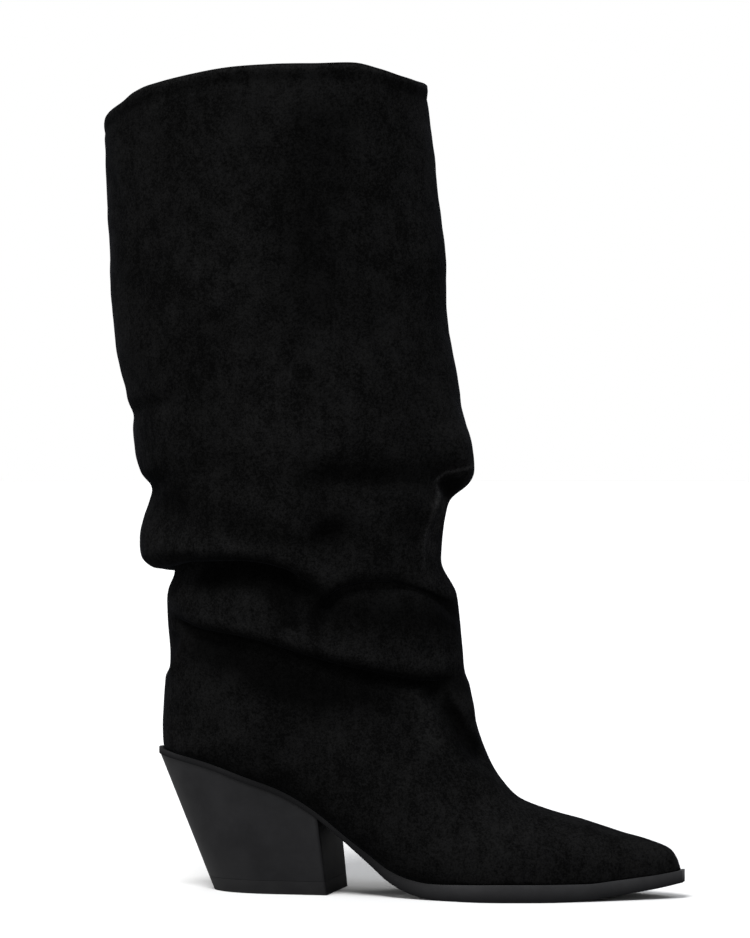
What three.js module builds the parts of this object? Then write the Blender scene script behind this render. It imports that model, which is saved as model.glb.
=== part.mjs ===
// High boot for the right foot: a slouched suede pull-on boot with a pointed toe and a slanted block heel.
// Millimetres, +Z up. While it is being shaped, x runs from the back of the heel seat (0) towards the toe,
// y from the outer side of the foot (-) to the inner side (+), and z up from the floor.
// The finished group is moved so that the middle of its box lies at x = 0, y = 0.

import * as THREE from 'three';
import { mergeVertices } from 'three/addons/utils/BufferGeometryUtils.js';

// Driving dimensions of the sole and heel
const SOLE_LENGTH = 266;
const BALL_WIDTH = 79;
const SEAT_WIDTH = 56;
const TOE_SWING = 5.5;
const SEAT_ROUND = 48;
const SOLE_THICKNESS = 8.7;
const SEAT_THICKNESS = 3;
const TOE_SPRING = 7.8;
const HEEL_HEIGHT = 71.4;
const HEEL_SLANT = 28.9;
const HEEL_FOOT_LENGTH = 63;
const HEEL_FOOT_WIDTH = 46;
const HEEL_FOOT_ROUND = 34;
const HEEL_SEAT_LENGTH = 87.8;
const HEEL_SEAT_INSET = 0.6;
const LIFT_THICKNESS = 6.7;

// Driving dimensions of the upper and insole
const INSTEP_HEIGHT = 68;
const ANKLE_WIDTH = 74;
const BOOT_HEIGHT = 409.8;
const SHAFT_LENGTH = 165;
const SHAFT_WIDTH = 108;
const COLLAR_ARCH = 16;
const WALL = 1.6;
const UPPER_INSET = 1.6;
const INSOLE_THICKNESS = 2;
const INSOLE_MARGIN = 0.8;
const FOLD_DEPTH = 8;
const ROLL_HEIGHT = 24;
const GAP = 0.3;

// Shape of a fold by its rise over the crease, a share of the roll's height: where the roll's swell and
// droop start, are fullest and end, and where and how widely the crease below cuts in.
const SWELL = { start: -0.05, full: 0.4, end: 1.4 };
const DROOP = { start: -0.12, full: 0.25, end: 1.3 };
const CUT = { rise: -0.1, spread: 0.28 };

// Folds push outwards with this share of the upper's own slope.
const FOLD_SLOPE = 0.3;

// Shares of the sole's length between which the plan narrows into the seat, the girth goes from the ball's
// to the ankle's, and the ridge of the vamp swings in with the toe.
const SEAT_BLEND = { from: 0.42, to: 0.18 };
const GIRTH_BLEND = { from: 0.55, to: 0.1 };
const RIDGE_SWING = { from: 0.05, to: 0.6 };

// Shares of the shaft's height between which the slices take on the collar's arch.
const ARCH_BLEND = { from: 0.6, to: 0.96 };

// How far instep creases fade at either end, as a share of their length, and the half width of the strip
// over the vamp's ridge in which they run out, as a share of the ball width.
const INSTEP_FADE = 0.3;
const INSTEP_RIDGE = 0.06;

// Half width that is left at a point, so that every solid stays closed.
const POINT_HALF = 0.02;

// Mesh fineness
const COLUMNS = 36;
const SOLE_STATIONS = 64;
const HEEL_STATIONS = 14;
const LOWER_SHARE = 0.35;
const SOLE_CURL = 0.72;
const HEEL_CURL = 0.9;
const JOIN = 1e-3;

// Underside of the sole behind the tread: rise is a share of the seat's height over the floor.
const ARCH = table('along rise', [
  [0.00, 1.000], [0.11, 0.914], [0.19, 0.811], [0.26, 0.713], [0.32, 0.583], [0.38, 0.402],
  [0.43, 0.237], [0.47, 0.110], [0.51, 0.038], [0.55, 0.006], [0.58, 0.000],
]);

// Underside of the sole in front of the tread: rise is a share of the toe spring.
const SPRING = table('along rise', [
  [0.80, 0.00], [0.84, 0.07], [0.88, 0.28], [0.92, 0.49], [0.96, 0.71], [1.00, 1.00],
]);

// Thickness of the sole: grow goes from the seat's thickness (0) to the ball's (1).
const BODY = table('along grow', [
  [0.00, 0.00], [0.33, 0.00], [0.38, 0.04], [0.43, 0.28], [0.47, 0.53], [0.51, 0.71], [0.56, 0.84],
  [0.63, 0.94], [0.70, 1.00], [0.79, 0.99], [0.86, 0.84], [0.92, 0.71], [1.00, 0.55],
]);

// Plan of the sole in front of the seat: half is a share of the ball width, swing of the toe swing.
const PLAN = table('along half swing', [
  [0.18, 0.354, 0.00], [0.30, 0.328, -0.15], [0.42, 0.315, -0.42], [0.50, 0.360, -0.45],
  [0.58, 0.440, -0.35], [0.66, 0.500, -0.15], [0.75, 0.470, 0.25], [0.85, 0.345, 0.70],
  [0.93, 0.208, 0.92], [0.975, 0.112, 0.98], [1.00, 0.050, 1.00],
]);

// Sections of the foot, from the toe to the back of the heel. Each is a slice from a line across the sole
// (base, share of the sole's length) to the ridge of the vamp (ridge, share of the length, at height, share
// of the instep's height). wide: greatest half width, a share of the ball width that turns into a share of
// the ankle width towards the heel. at: its height share. crown: roundness of the part above it.
// rows: mesh rows up to the next section.
const FOOT_SECTIONS = table('base ridge height wide at crown rows', [
  [0.9930, 0.9930, 0.000, 0.030, 0.40, 2.0, 1],
  [0.9870, 0.9880, 0.080, 0.052, 0.40, 2.0, 1],
  [0.9720, 0.9740, 0.169, 0.098, 0.40, 2.0, 2],
  [0.9400, 0.9400, 0.240, 0.170, 0.36, 2.1, 2],
  [0.8800, 0.8800, 0.331, 0.287, 0.30, 2.1, 2],
  [0.8100, 0.8100, 0.431, 0.397, 0.28, 2.1, 2],
  [0.7400, 0.7400, 0.507, 0.470, 0.26, 2.0, 2],
  [0.6700, 0.6870, 0.597, 0.497, 0.24, 1.9, 2],
  [0.5900, 0.6590, 0.713, 0.483, 0.26, 1.9, 2],
  [0.5000, 0.6380, 0.853, 0.467, 0.32, 1.9, 3],
  [0.4000, 0.6230, 1.000, 0.462, 0.38, 1.9, 3],
  [0.2900, 0.6110, 1.150, 0.466, 0.42, 1.9, 3],
  [0.1700, 0.6030, 1.315, 0.479, 0.45, 2.0, 2],
  [0.0750, 0.5985, 1.415, 0.491, 0.48, 2.0, 2],
  [0.0200, 0.5920, 1.475, 0.498, 0.50, 2.0, 2],
  [0.0060, 0.5880, 1.515, 0.500, 0.50, 2.0, 1],
]);

// Sections of the shaft, upwards. back and front: height of the slice's two ends, each a share of the way
// from the heel's back edge, or from the last vamp ridge, to the top. middle: where the slice is centred,
// as a share of the sole's length. deep and wide: how far the half length and half width have grown from
// the ankle's (0) to the collar's (1). rows: mesh rows up to the next section.
const SHAFT_SECTIONS = table('back front middle deep wide rows', [
  [0.003, 0.010, 0.2968, 0.00, 0.00, 3],
  [0.050, 0.040, 0.2966, -0.14, 0.03, 3],
  [0.115, 0.075, 0.2974, -0.37, 0.12, 4],
  [0.185, 0.125, 0.2953, -0.68, 0.25, 5],
  [0.250, 0.180, 0.2793, -1.31, 0.41, 5],
  [0.315, 0.240, 0.2784, -0.30, 0.56, 5],
  [0.375, 0.300, 0.2750, 0.91, 0.68, 5],
  [0.435, 0.370, 0.2700, 1.23, 0.80, 4],
  [0.510, 0.455, 0.2620, 1.40, 0.92, 3],
  [0.610, 0.570, 0.2365, 1.55, 1.00, 2],
  [0.735, 0.710, 0.2262, 1.59, 1.04, 2],
  [0.860, 0.850, 0.2138, 1.29, 1.03, 2],
  [0.932, 0.979, 0.2062, 1.00, 1.00, 0],
]);

// Collar line from the back (-1) to the front (1): rise over the straight line between its two ends, a
// share of the collar's arch.
const COLLAR = table('along rise', [
  [-1.00, 0.00], [-0.91, 0.25], [-0.82, 0.38], [-0.71, 0.60], [-0.60, 0.72], [-0.375, 0.81],
  [-0.10, 0.89], [0.20, 0.82], [0.45, 0.71], [0.665, 0.63], [0.80, 0.41], [0.90, 0.21], [1.00, 0.00],
]);

// Slouch folds of the shaft. Each hangs over a crease that runs round the leg through stops of a turn in
// degrees (0 front, 90 outer side, 180 back, 270 inner side) and a height (share of the boot's height).
// roll, tuck and hang are shares of the fold depth: how far the roll above swells, how deep the crease
// cuts in and how far the roll droops over it. tall: the roll's height as a share of the roll height.
// fade: degrees over which each end runs out.
const FOLDS = table('crease roll tuck hang tall fade', [
  [
    [[-6, 0.258], [12, 0.263], [40, 0.278], [75, 0.295], [120, 0.317], [150, 0.329], [175, 0.338]],
    0.40, 0.40, 0.95, 1.1, 30,
  ],
  [
    [
      [58, 0.358], [72, 0.372], [83, 0.386], [94, 0.402], [105, 0.408], [120, 0.411], [142, 0.410],
      [165, 0.403], [215, 0.390], [250, 0.380],
    ],
    0.95, 0.70, 1.10, 1.3, 35,
  ],
  [
    [
      [-4, 0.349], [5, 0.355], [13, 0.367], [22, 0.377], [31, 0.383], [43, 0.383], [55, 0.378],
      [64, 0.368], [72, 0.354], [82, 0.336],
    ],
    0.20, 0.50, 0.60, 0.9, 16,
  ],
  [
    [[-60, 0.475], [-20, 0.477], [0, 0.483], [7, 0.495], [14, 0.508], [26, 0.513]],
    0.75, 0.60, 0.15, 1.5, 20,
  ],
  [[[190, 0.300], [230, 0.318], [275, 0.322], [320, 0.305], [350, 0.290]], 0.50, 0.50, 0.80, 1.1, 28],
]);

// Soft troughs that go with the folds: a trough round the leg at stops as above, deep a share of the fold
// depth, spread a share of the roll height.
const TROUGHS = table('course deep spread fade', [
  [[[128, 0.462], [150, 0.472], [172, 0.484], [195, 0.492], [225, 0.486]], 0.70, 0.45, 28],
  [[[45, 0.430], [70, 0.432], [95, 0.436], [118, 0.448], [140, 0.462]], 0.50, 0.50, 25],
  [[[5, 0.500], [30, 0.497], [60, 0.498], [90, 0.500]], 0.40, 0.42, 22],
  [[[-30, 0.445], [0, 0.438], [28, 0.436]], 0.35, 0.42, 22],
  [[[150, 0.302], [170, 0.296], [190, 0.290], [220, 0.285]], 0.15, 0.40, 20],
]);

// Creases of the instep, seen from the outer side. path: points along the sole's length (share) and over
// the ball (share of the instep's height). deep and swell: shares of the fold depth by which the crease
// sinks and the roll in front of it rises. spread: a share of the roll height.
const INSTEP_CREASES = table('path deep swell spread', [
  [[[0.535, 1.44], [0.554, 1.33], [0.592, 1.10], [0.622, 0.91], [0.650, 0.75]], 0.45, 0.22, 0.22],
]);

const MATERIALS = {
  suede: { color: 0x0d0d0f, roughness: 0.95, metalness: 0 },
  sole: { color: 0x2a2b2d, roughness: 0.5, metalness: 0 },
  heel: { color: 0x2e2f32, roughness: 0.45, metalness: 0 },
  lift: { color: 0x242527, roughness: 0.6, metalness: 0 },
  sock: { color: 0x1a1917, roughness: 0.8, metalness: 0 },
};

// Gives each row of numbers the names of its columns.
function table(columns, rows) {
  const names = columns.split(' ');
  return rows.map((row) => Object.fromEntries(names.map((name, index) => [name, row[index]])));
}

function lerp(a, b, share) {
  return a + (b - a) * share;
}

function smoothstep(low, high, value) {
  const t = THREE.MathUtils.clamp((value - low) / (high - low), 0, 1);
  return t * t * (3 - 2 * t);
}

// Rises smoothly from 0 at the shape's start to 1 where it is full, and back to 0 at its end.
function hump(shape, value) {
  return smoothstep(shape.start, shape.full, value) * smoothstep(shape.end, shape.full, value);
}

// Smooth curve through (xs, ys) that never overshoots between its points.
function smoothCurve(xs, ys) {
  const last = xs.length - 1;
  const slopes = xs.slice(1).map((x, i) => (ys[i + 1] - ys[i]) / (x - xs[i]));
  const tangents = xs.map((x, i) => {
    if (i === 0 || i === last) return i === 0 ? slopes[0] : slopes[last - 1];
    const product = slopes[i - 1] * slopes[i];
    return product <= 0 ? 0 : (2 * product) / (slopes[i - 1] + slopes[i]);
  });
  return (x) => {
    const inside = THREE.MathUtils.clamp(x, xs[0], xs[last]);
    let i = 0;
    while (i < last - 1 && inside > xs[i + 1]) i += 1;
    const span = xs[i + 1] - xs[i];
    const t = (inside - xs[i]) / span;
    const rise = span * (tangents[i] * t * (1 - t) ** 2 - tangents[i + 1] * t * t * (1 - t));
    return lerp(ys[i], ys[i + 1], t * t * (3 - 2 * t)) + rise;
  };
}

function column(rows, x, y) {
  return smoothCurve(rows.map((row) => row[x]), rows.map((row) => row[y]));
}

// Rows of the tables that other shapes are measured from: where the insole ends, the vamp slice from which
// the instep's height counts, and the shaft slice whose centre the folds' turns are measured round.
const TOE_CAP = FOOT_SECTIONS[3];
const INSTEP = FOOT_SECTIONS[9];
const FOLD_CENTRE = SHAFT_SECTIONS[3];

const archRise = column(ARCH, 'along', 'rise');
const springRise = column(SPRING, 'along', 'rise');
const bodyGrow = column(BODY, 'along', 'grow');
const planHalf = column(PLAN, 'along', 'half');
const planSwing = column(PLAN, 'along', 'swing');
const collarRise = column(COLLAR, 'along', 'rise');

function soleUnderside(x) {
  const share = x / SOLE_LENGTH;
  return (HEEL_HEIGHT - SEAT_THICKNESS) * archRise(share) + TOE_SPRING * springRise(share);
}

function soleTop(x) {
  return soleUnderside(x) + lerp(SEAT_THICKNESS, SOLE_THICKNESS, bodyGrow(x / SOLE_LENGTH));
}

function soleCentre(x) {
  return TOE_SWING * planSwing(x / SOLE_LENGTH);
}

// Half width of the sole's plan, drawn in by an inset all round: a half ellipse at the seat, then PLAN.
function soleHalf(x, inset = 0) {
  const share = x / SOLE_LENGTH;
  const widthScale = SEAT_WIDTH / (2 * BALL_WIDTH * PLAN[0].half);
  const seatBlend = smoothstep(SEAT_BLEND.from, SEAT_BLEND.to, share);
  const flank = BALL_WIDTH * planHalf(share) * lerp(1, widthScale, seatBlend) - inset;
  const round = SEAT_ROUND - inset;
  const back = THREE.MathUtils.clamp((x - inset) / round, 0, 1);
  return Math.max(flank, 0) * Math.sqrt(1 - (1 - back) ** 2);
}

// Closed geometry from a list of points and a list of triangles, with alike points joined.
function solidGeometry(points, triangles) {
  const geometry = new THREE.BufferGeometry();
  const flat = points.flatMap((point) => [point.x, point.y, point.z]);
  geometry.setAttribute('position', new THREE.Float32BufferAttribute(flat, 3));
  geometry.setIndex(triangles.flat());
  const merged = mergeVertices(geometry, JOIN);
  const index = Array.from(merged.index.array);
  const kept = [];
  for (let i = 0; i < index.length; i += 3) {
    const [a, b, c] = index.slice(i, i + 3);
    if (a !== b && b !== c && c !== a) kept.push(a, b, c);
  }
  merged.setIndex(kept);
  merged.computeVertexNormals();
  return merged;
}

// Two triangles for the four corners of a patch, in order round its edge.
function patch(a, b, c, d) {
  return [[a, b, c], [a, c, d]];
}

// Solid between an upper and a lower rail on each side: every station has the same x on all four corners
// or leans with its rails. corner(i) gives [outer low, inner low, inner high, outer high].
function stationSolid(count, corner) {
  const points = [];
  const triangles = [];
  for (let i = 0; i < count; i += 1) points.push(...corner(i));
  for (let i = 0; i < count - 1; i += 1) {
    for (let side = 0; side < 4; side += 1) {
      const next = (side + 1) % 4;
      triangles.push(...patch(4 * i + side, 4 * i + next, 4 * i + 4 + next, 4 * i + 4 + side));
    }
  }
  const end = 4 * (count - 1);
  triangles.push(...patch(3, 2, 1, 0), ...patch(end, end + 1, end + 2, end + 3));
  return solidGeometry(points, triangles);
}

// Shares from 0 to 1, close together at the start where the outline is round.
function roundedShares(count, curl) {
  return Array.from({ length: count }, (unused, i) => {
    const t = i / (count - 1);
    return lerp(t, 1 - Math.cos((t * Math.PI) / 2), curl);
  });
}

function outsoleGeometry() {
  const shares = roundedShares(SOLE_STATIONS, SOLE_CURL);
  return stationSolid(SOLE_STATIONS, (i) => {
    const x = SOLE_LENGTH * shares[i];
    const half = Math.max(soleHalf(x), POINT_HALF);
    const centre = soleCentre(x);
    const low = soleUnderside(x);
    const high = soleTop(x);
    return [
      new THREE.Vector3(x, centre - half, low), new THREE.Vector3(x, centre + half, low),
      new THREE.Vector3(x, centre + half, high), new THREE.Vector3(x, centre - half, high),
    ];
  });
}

function insoleGeometry() {
  const inset = UPPER_INSET + WALL + INSOLE_MARGIN;
  const shares = roundedShares(SOLE_STATIONS / 2, SOLE_CURL);
  const front = TOE_CAP.base * SOLE_LENGTH - inset;
  return stationSolid(shares.length, (i) => {
    const x = lerp(inset + 0.05, front, shares[i]);
    const half = soleHalf(x, inset);
    const centre = soleCentre(x);
    const low = soleTop(x) + GAP;
    const high = low + INSOLE_THICKNESS;
    return [
      new THREE.Vector3(x, centre - half, low), new THREE.Vector3(x, centre + half, low),
      new THREE.Vector3(x, centre + half, high), new THREE.Vector3(x, centre - half, high),
    ];
  });
}

// One upright line of the heel's side at a share of its length: straight from the floor to the seat.
function heelLine(share, side) {
  const footX = HEEL_SLANT + HEEL_FOOT_LENGTH * share;
  const footBack = THREE.MathUtils.clamp((HEEL_FOOT_LENGTH * share) / HEEL_FOOT_ROUND, 0, 1);
  const footHalf = (HEEL_FOOT_WIDTH / 2) * Math.sqrt(1 - (1 - footBack) ** 2);
  const seatX = lerp(HEEL_SEAT_INSET, HEEL_SEAT_LENGTH, share);
  const seatHalf = soleHalf(seatX, HEEL_SEAT_INSET);
  const foot = new THREE.Vector3(footX, side * Math.max(footHalf, POINT_HALF), 0);
  const seatY = soleCentre(seatX) + side * Math.max(seatHalf, POINT_HALF);
  const seat = new THREE.Vector3(seatX, seatY, soleUnderside(seatX) - GAP);
  return { foot, seat };
}

function onHeelLine(line, z) {
  return line.foot.clone().lerp(line.seat, z / line.seat.z);
}

function heelGeometry() {
  const shares = roundedShares(HEEL_STATIONS, HEEL_CURL);
  return stationSolid(HEEL_STATIONS, (i) => {
    const outer = heelLine(shares[i], -1);
    const inner = heelLine(shares[i], 1);
    const low = LIFT_THICKNESS + GAP;
    return [onHeelLine(outer, low), onHeelLine(inner, low), inner.seat, outer.seat];
  });
}

function liftGeometry() {
  const shares = roundedShares(HEEL_STATIONS, HEEL_CURL);
  return stationSolid(HEEL_STATIONS, (i) => {
    const outer = heelLine(shares[i], -1);
    const inner = heelLine(shares[i], 1);
    return [outer.foot, inner.foot, onHeelLine(inner, LIFT_THICKNESS), onHeelLine(outer, LIFT_THICKNESS)];
  });
}

// Where a slice of the foot stands on the sole.
function seatedBase(x) {
  return {
    baseZ: soleTop(x) + GAP, baseHalf: soleHalf(x, UPPER_INSET), baseY: soleCentre(x), seated: true,
  };
}

// All sections of the upper as slices from a base point to a ridge point, with widths in millimetres.
function upperSections() {
  const instepBase = soleTop(INSTEP.ridge * SOLE_LENGTH);
  const foot = FOOT_SECTIONS.map((row) => {
    const base = row.base * SOLE_LENGTH;
    const ridge = row.ridge * SOLE_LENGTH;
    const floor = row.height < INSTEP.height ? soleTop(ridge) : instepBase;
    const baseHalf = soleHalf(base, UPPER_INSET);
    const girth = lerp(BALL_WIDTH, ANKLE_WIDTH, smoothstep(GIRTH_BLEND.from, GIRTH_BLEND.to, row.base));
    return {
      baseX: base, baseZ: soleTop(base) + GAP,
      ridgeX: ridge, ridgeZ: floor + GAP + row.height * INSTEP_HEIGHT,
      baseHalf, half: Math.max(row.wide * girth, baseHalf),
      baseY: soleCentre(base),
      ridgeY: soleCentre(ridge) * smoothstep(RIDGE_SWING.from, RIDGE_SWING.to, row.base),
      at: row.at, crown: row.crown, arch: 0, rows: row.rows,
    };
  });
  const last = foot[foot.length - 1];
  const ankleHalf = (last.ridgeX - last.baseX) / 2;
  const shaft = SHAFT_SECTIONS.map((row) => {
    const half = lerp(ankleHalf, SHAFT_LENGTH / 2, row.deep);
    const middle = row.middle * SOLE_LENGTH;
    return {
      baseX: middle - half, baseZ: lerp(HEEL_HEIGHT, BOOT_HEIGHT, row.back),
      ridgeX: middle + half, ridgeZ: lerp(last.ridgeZ, BOOT_HEIGHT, row.front),
      baseHalf: 0, half: lerp(ANKLE_WIDTH, SHAFT_WIDTH, row.wide) / 2,
      baseY: 0, ridgeY: 0,
      at: 0.5, crown: 2, rows: row.rows,
      arch: COLLAR_ARCH * smoothstep(ARCH_BLEND.from, ARCH_BLEND.to, row.back),
    };
  });
  return [...foot, ...shaft];
}

// Mesh rows: the sections' values carried smoothly from one to the next, spaced by how far they lie apart.
function upperRows() {
  const sections = upperSections();
  const stops = [0];
  for (let i = 1; i < sections.length; i += 1) {
    const a = sections[i - 1];
    const b = sections[i];
    const low = Math.hypot(b.baseX - a.baseX, b.baseZ - a.baseZ);
    const high = Math.hypot(b.ridgeX - a.ridgeX, b.ridgeZ - a.ridgeZ);
    stops.push(stops[i - 1] + (low + high) / 2);
  }
  const names = Object.keys(sections[0]).filter((name) => name !== 'rows');
  const curves = names.map((name) => [name, smoothCurve(stops, sections.map((row) => row[name]))]);
  const places = [];
  sections.forEach((section, i) => {
    for (let k = 0; k < section.rows; k += 1) places.push(lerp(stops[i], stops[i + 1], k / section.rows));
  });
  places.push(stops[stops.length - 1]);
  const heelStop = stops[FOOT_SECTIONS.length - 1];
  return places.map((place) => {
    const row = Object.fromEntries(curves.map(([name, curve]) => [name, curve(place)]));
    return place > heelStop ? { ...row, seated: false } : { ...row, ...seatedBase(row.baseX) };
  });
}

// Point of a row at a turn from 0 (outer edge of the base) over the ridge to 1 (inner edge of the base).
function upperPoint(row, turn) {
  const side = turn < 0.5 ? -1 : 1;
  const climb = 1 - Math.abs(2 * turn - 1);
  let high;
  let half;
  if (climb < LOWER_SHARE) {
    const angle = (climb / LOWER_SHARE) * (Math.PI / 2);
    high = row.at * (1 - Math.cos(angle));
    half = row.baseHalf + (row.half - row.baseHalf) * Math.sin(angle);
  } else {
    const angle = ((climb - LOWER_SHARE) / (1 - LOWER_SHARE)) * (Math.PI / 2);
    high = row.at + (1 - row.at) * Math.sin(angle) ** (2 / row.crown);
    half = row.half * Math.cos(angle) ** (2 / row.crown);
  }
  const across = lerp(row.baseY, row.ridgeY, high) + side * half;
  const arch = row.arch * collarRise(2 * high - 1);
  return new THREE.Vector3(
    lerp(row.baseX, row.ridgeX, high), across, lerp(row.baseZ, row.ridgeZ, high) + arch,
  );
}

// Height of a crease at a turn in degrees, and how strongly it shows there.
function courseAt(stops, fade, degrees) {
  const first = stops[0][0];
  const last = stops[stops.length - 1][0];
  const middle = (first + last) / 2;
  const near = middle + THREE.MathUtils.euclideanModulo(degrees - middle + 180, 360) - 180;
  const height = smoothCurve(stops.map((stop) => stop[0]), stops.map((stop) => stop[1]))(near);
  const strength = smoothstep(first, first + fade, near) * smoothstep(last, last - fade, near);
  return { height: height * BOOT_HEIGHT, strength };
}

// Signed distance in side view from a path of points to a point, positive in front, and how far the
// nearest place lies along the path, from 0 to 1.
function sideDistance(stops, x, z) {
  const low = SOLE_THICKNESS + GAP;
  const places = stops.map((stop) => [stop[0] * SOLE_LENGTH, low + stop[1] * INSTEP_HEIGHT]);
  let best = { distance: Infinity, along: 0 };
  for (let i = 0; i < places.length - 1; i += 1) {
    const [ax, az] = places[i];
    const run = [places[i + 1][0] - ax, places[i + 1][1] - az];
    const length = Math.hypot(...run);
    const share = THREE.MathUtils.clamp(((x - ax) * run[0] + (z - az) * run[1]) / length ** 2, 0, 1);
    const away = [x - ax - share * run[0], z - az - share * run[1]];
    const side = run[0] * away[1] - run[1] * away[0] < 0 ? -1 : 1;
    const distance = Math.hypot(...away);
    if (distance < Math.abs(best.distance)) {
      best = { distance: side * distance, along: (i + share) / (places.length - 1) };
    }
  }
  return best;
}

// How far a point of the plain upper moves out and down to make the folds.
function foldShift(point, axisX) {
  const degrees = THREE.MathUtils.radToDeg(Math.atan2(-point.y, point.x - axisX));
  const shift = { out: 0, down: 0 };
  for (const fold of FOLDS) {
    const course = courseAt(fold.crease, fold.fade, degrees);
    const rise = (point.z - course.height) / (fold.tall * ROLL_HEIGHT);
    const swell = hump(SWELL, rise);
    const cut = Math.exp(-(((rise - CUT.rise) / CUT.spread) ** 2));
    const droop = hump(DROOP, rise);
    const size = FOLD_DEPTH * course.strength;
    shift.out += size * (fold.roll * swell - fold.tuck * cut);
    shift.down += size * fold.hang * droop;
  }
  for (const trough of TROUGHS) {
    const course = courseAt(trough.course, trough.fade, degrees);
    const rise = (point.z - course.height) / (trough.spread * ROLL_HEIGHT);
    shift.out -= FOLD_DEPTH * course.strength * trough.deep * Math.exp(-(rise ** 2));
  }
  const outerSide = smoothstep(INSTEP_RIDGE, -INSTEP_RIDGE, point.y / BALL_WIDTH);
  for (const crease of INSTEP_CREASES) {
    const near = sideDistance(crease.path, point.x, point.z);
    const spread = crease.spread * ROLL_HEIGHT;
    const ends = smoothstep(0, INSTEP_FADE, near.along) * smoothstep(1, 1 - INSTEP_FADE, near.along);
    const size = FOLD_DEPTH * outerSide * ends;
    const sink = Math.exp(-((near.distance / spread) ** 2));
    const swell = Math.exp(-((near.distance / spread - 1.5) ** 2));
    shift.out += size * (crease.swell * swell - crease.deep * sink);
  }
  return shift;
}

// Outward direction at each point of a grid, from its neighbours along the row and between the rows.
function gridNormals(grid, closed) {
  const lastRow = grid.length - 1;
  const lastColumn = grid[0].length - 1;
  return grid.map((row, i) => row.map((point, j) => {
    const wraps = closed[i] && (j === 0 || j === lastColumn);
    const before = wraps ? row[lastColumn - 1] : row[Math.max(j - 1, 0)];
    const after = wraps ? row[1] : row[Math.min(j + 1, lastColumn)];
    const below = grid[Math.max(i - 1, 0)][j];
    const above = grid[Math.min(i + 1, lastRow)][j];
    const along = after.clone().sub(before);
    const up = above.clone().sub(below);
    return along.cross(up).normalize();
  }));
}

function upperGeometry() {
  const rows = upperRows();
  const closed = rows.map((row) => row.baseHalf < 1e-6);
  const turns = Array.from({ length: COLUMNS + 1 }, (unused, j) => j / COLUMNS);
  const plain = rows.map((row) => turns.map((turn) => upperPoint(row, turn)));
  const plainNormals = gridNormals(plain, closed);
  const outer = plain.map((line, i) => line.map((point, j) => {
    const shift = foldShift(point, FOLD_CENTRE.middle * SOLE_LENGTH);
    const aside = plainNormals[i][j].clone().setZ(plainNormals[i][j].z * FOLD_SLOPE).normalize();
    return point.clone().addScaledVector(aside, shift.out).setZ(point.z + aside.z * shift.out - shift.down);
  }));
  const normals = gridNormals(outer, closed);
  const inner = outer.map((line, i) => line.map((point, j) => {
    const way = normals[i][j].clone();
    const onRim = i === 0 || (rows[i].seated && (j === 0 || j === COLUMNS)) || i === rows.length - 1;
    if (onRim) {
      const slope = i === rows.length - 1 ? 0 : soleTop(point.x + 1) - soleTop(point.x);
      const floorNormal = new THREE.Vector3(-slope, 0, 1).normalize();
      way.addScaledVector(floorNormal, -way.dot(floorNormal)).normalize();
    }
    return point.clone().addScaledVector(way, -WALL);
  }));

  const width = COLUMNS + 1;
  const sheet = rows.length * width;
  const outerAt = (i, j) => i * width + j;
  const innerAt = (i, j) => sheet + i * width + j;
  const triangles = [];
  for (let i = 0; i < rows.length - 1; i += 1) {
    for (let j = 0; j < COLUMNS; j += 1) {
      triangles.push(...patch(outerAt(i, j), outerAt(i, j + 1), outerAt(i + 1, j + 1), outerAt(i + 1, j)));
      triangles.push(...patch(innerAt(i + 1, j), innerAt(i + 1, j + 1), innerAt(i, j + 1), innerAt(i, j)));
    }
    if (!closed[i]) {
      triangles.push(...patch(outerAt(i, 0), outerAt(i + 1, 0), innerAt(i + 1, 0), innerAt(i, 0)));
      triangles.push(...patch(
        innerAt(i, COLUMNS), innerAt(i + 1, COLUMNS), outerAt(i + 1, COLUMNS), outerAt(i, COLUMNS),
      ));
    }
  }
  const top = rows.length - 1;
  for (let j = 0; j < COLUMNS; j += 1) {
    triangles.push(...patch(innerAt(0, j), innerAt(0, j + 1), outerAt(0, j + 1), outerAt(0, j)));
    triangles.push(...patch(outerAt(top, j), outerAt(top, j + 1), innerAt(top, j + 1), innerAt(top, j)));
  }
  return solidGeometry([...outer.flat(), ...inner.flat()], triangles);
}

function part(name, geometry, finish) {
  const mesh = new THREE.Mesh(geometry, new THREE.MeshStandardMaterial(finish));
  mesh.name = name;
  return mesh;
}

const boot = new THREE.Group();
boot.add(
  part('outsole', outsoleGeometry(), MATERIALS.sole),
  part('heel', heelGeometry(), MATERIALS.heel),
  part('top_lift', liftGeometry(), MATERIALS.lift),
  part('insole', insoleGeometry(), MATERIALS.sock),
  part('upper', upperGeometry(), MATERIALS.suede),
);
const middle = new THREE.Box3().setFromObject(boot).getCenter(new THREE.Vector3());
boot.position.set(-middle.x, -middle.y, 0);

export default boot;
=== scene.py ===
"""Slouched high boot: black suede pull-on boot with a pointed toe, a thin sole and a slanted block heel.

The forms are worked out in millimetres in the maker's frame: x from the back of the heel seat towards
the toe, y from the outer side of the foot (-) to the inner side (+), z up from the floor.
"""

import logging
import math
from dataclasses import dataclass
from enum import Enum
from typing import Callable, Dict, List, Sequence, Tuple, Union

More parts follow.
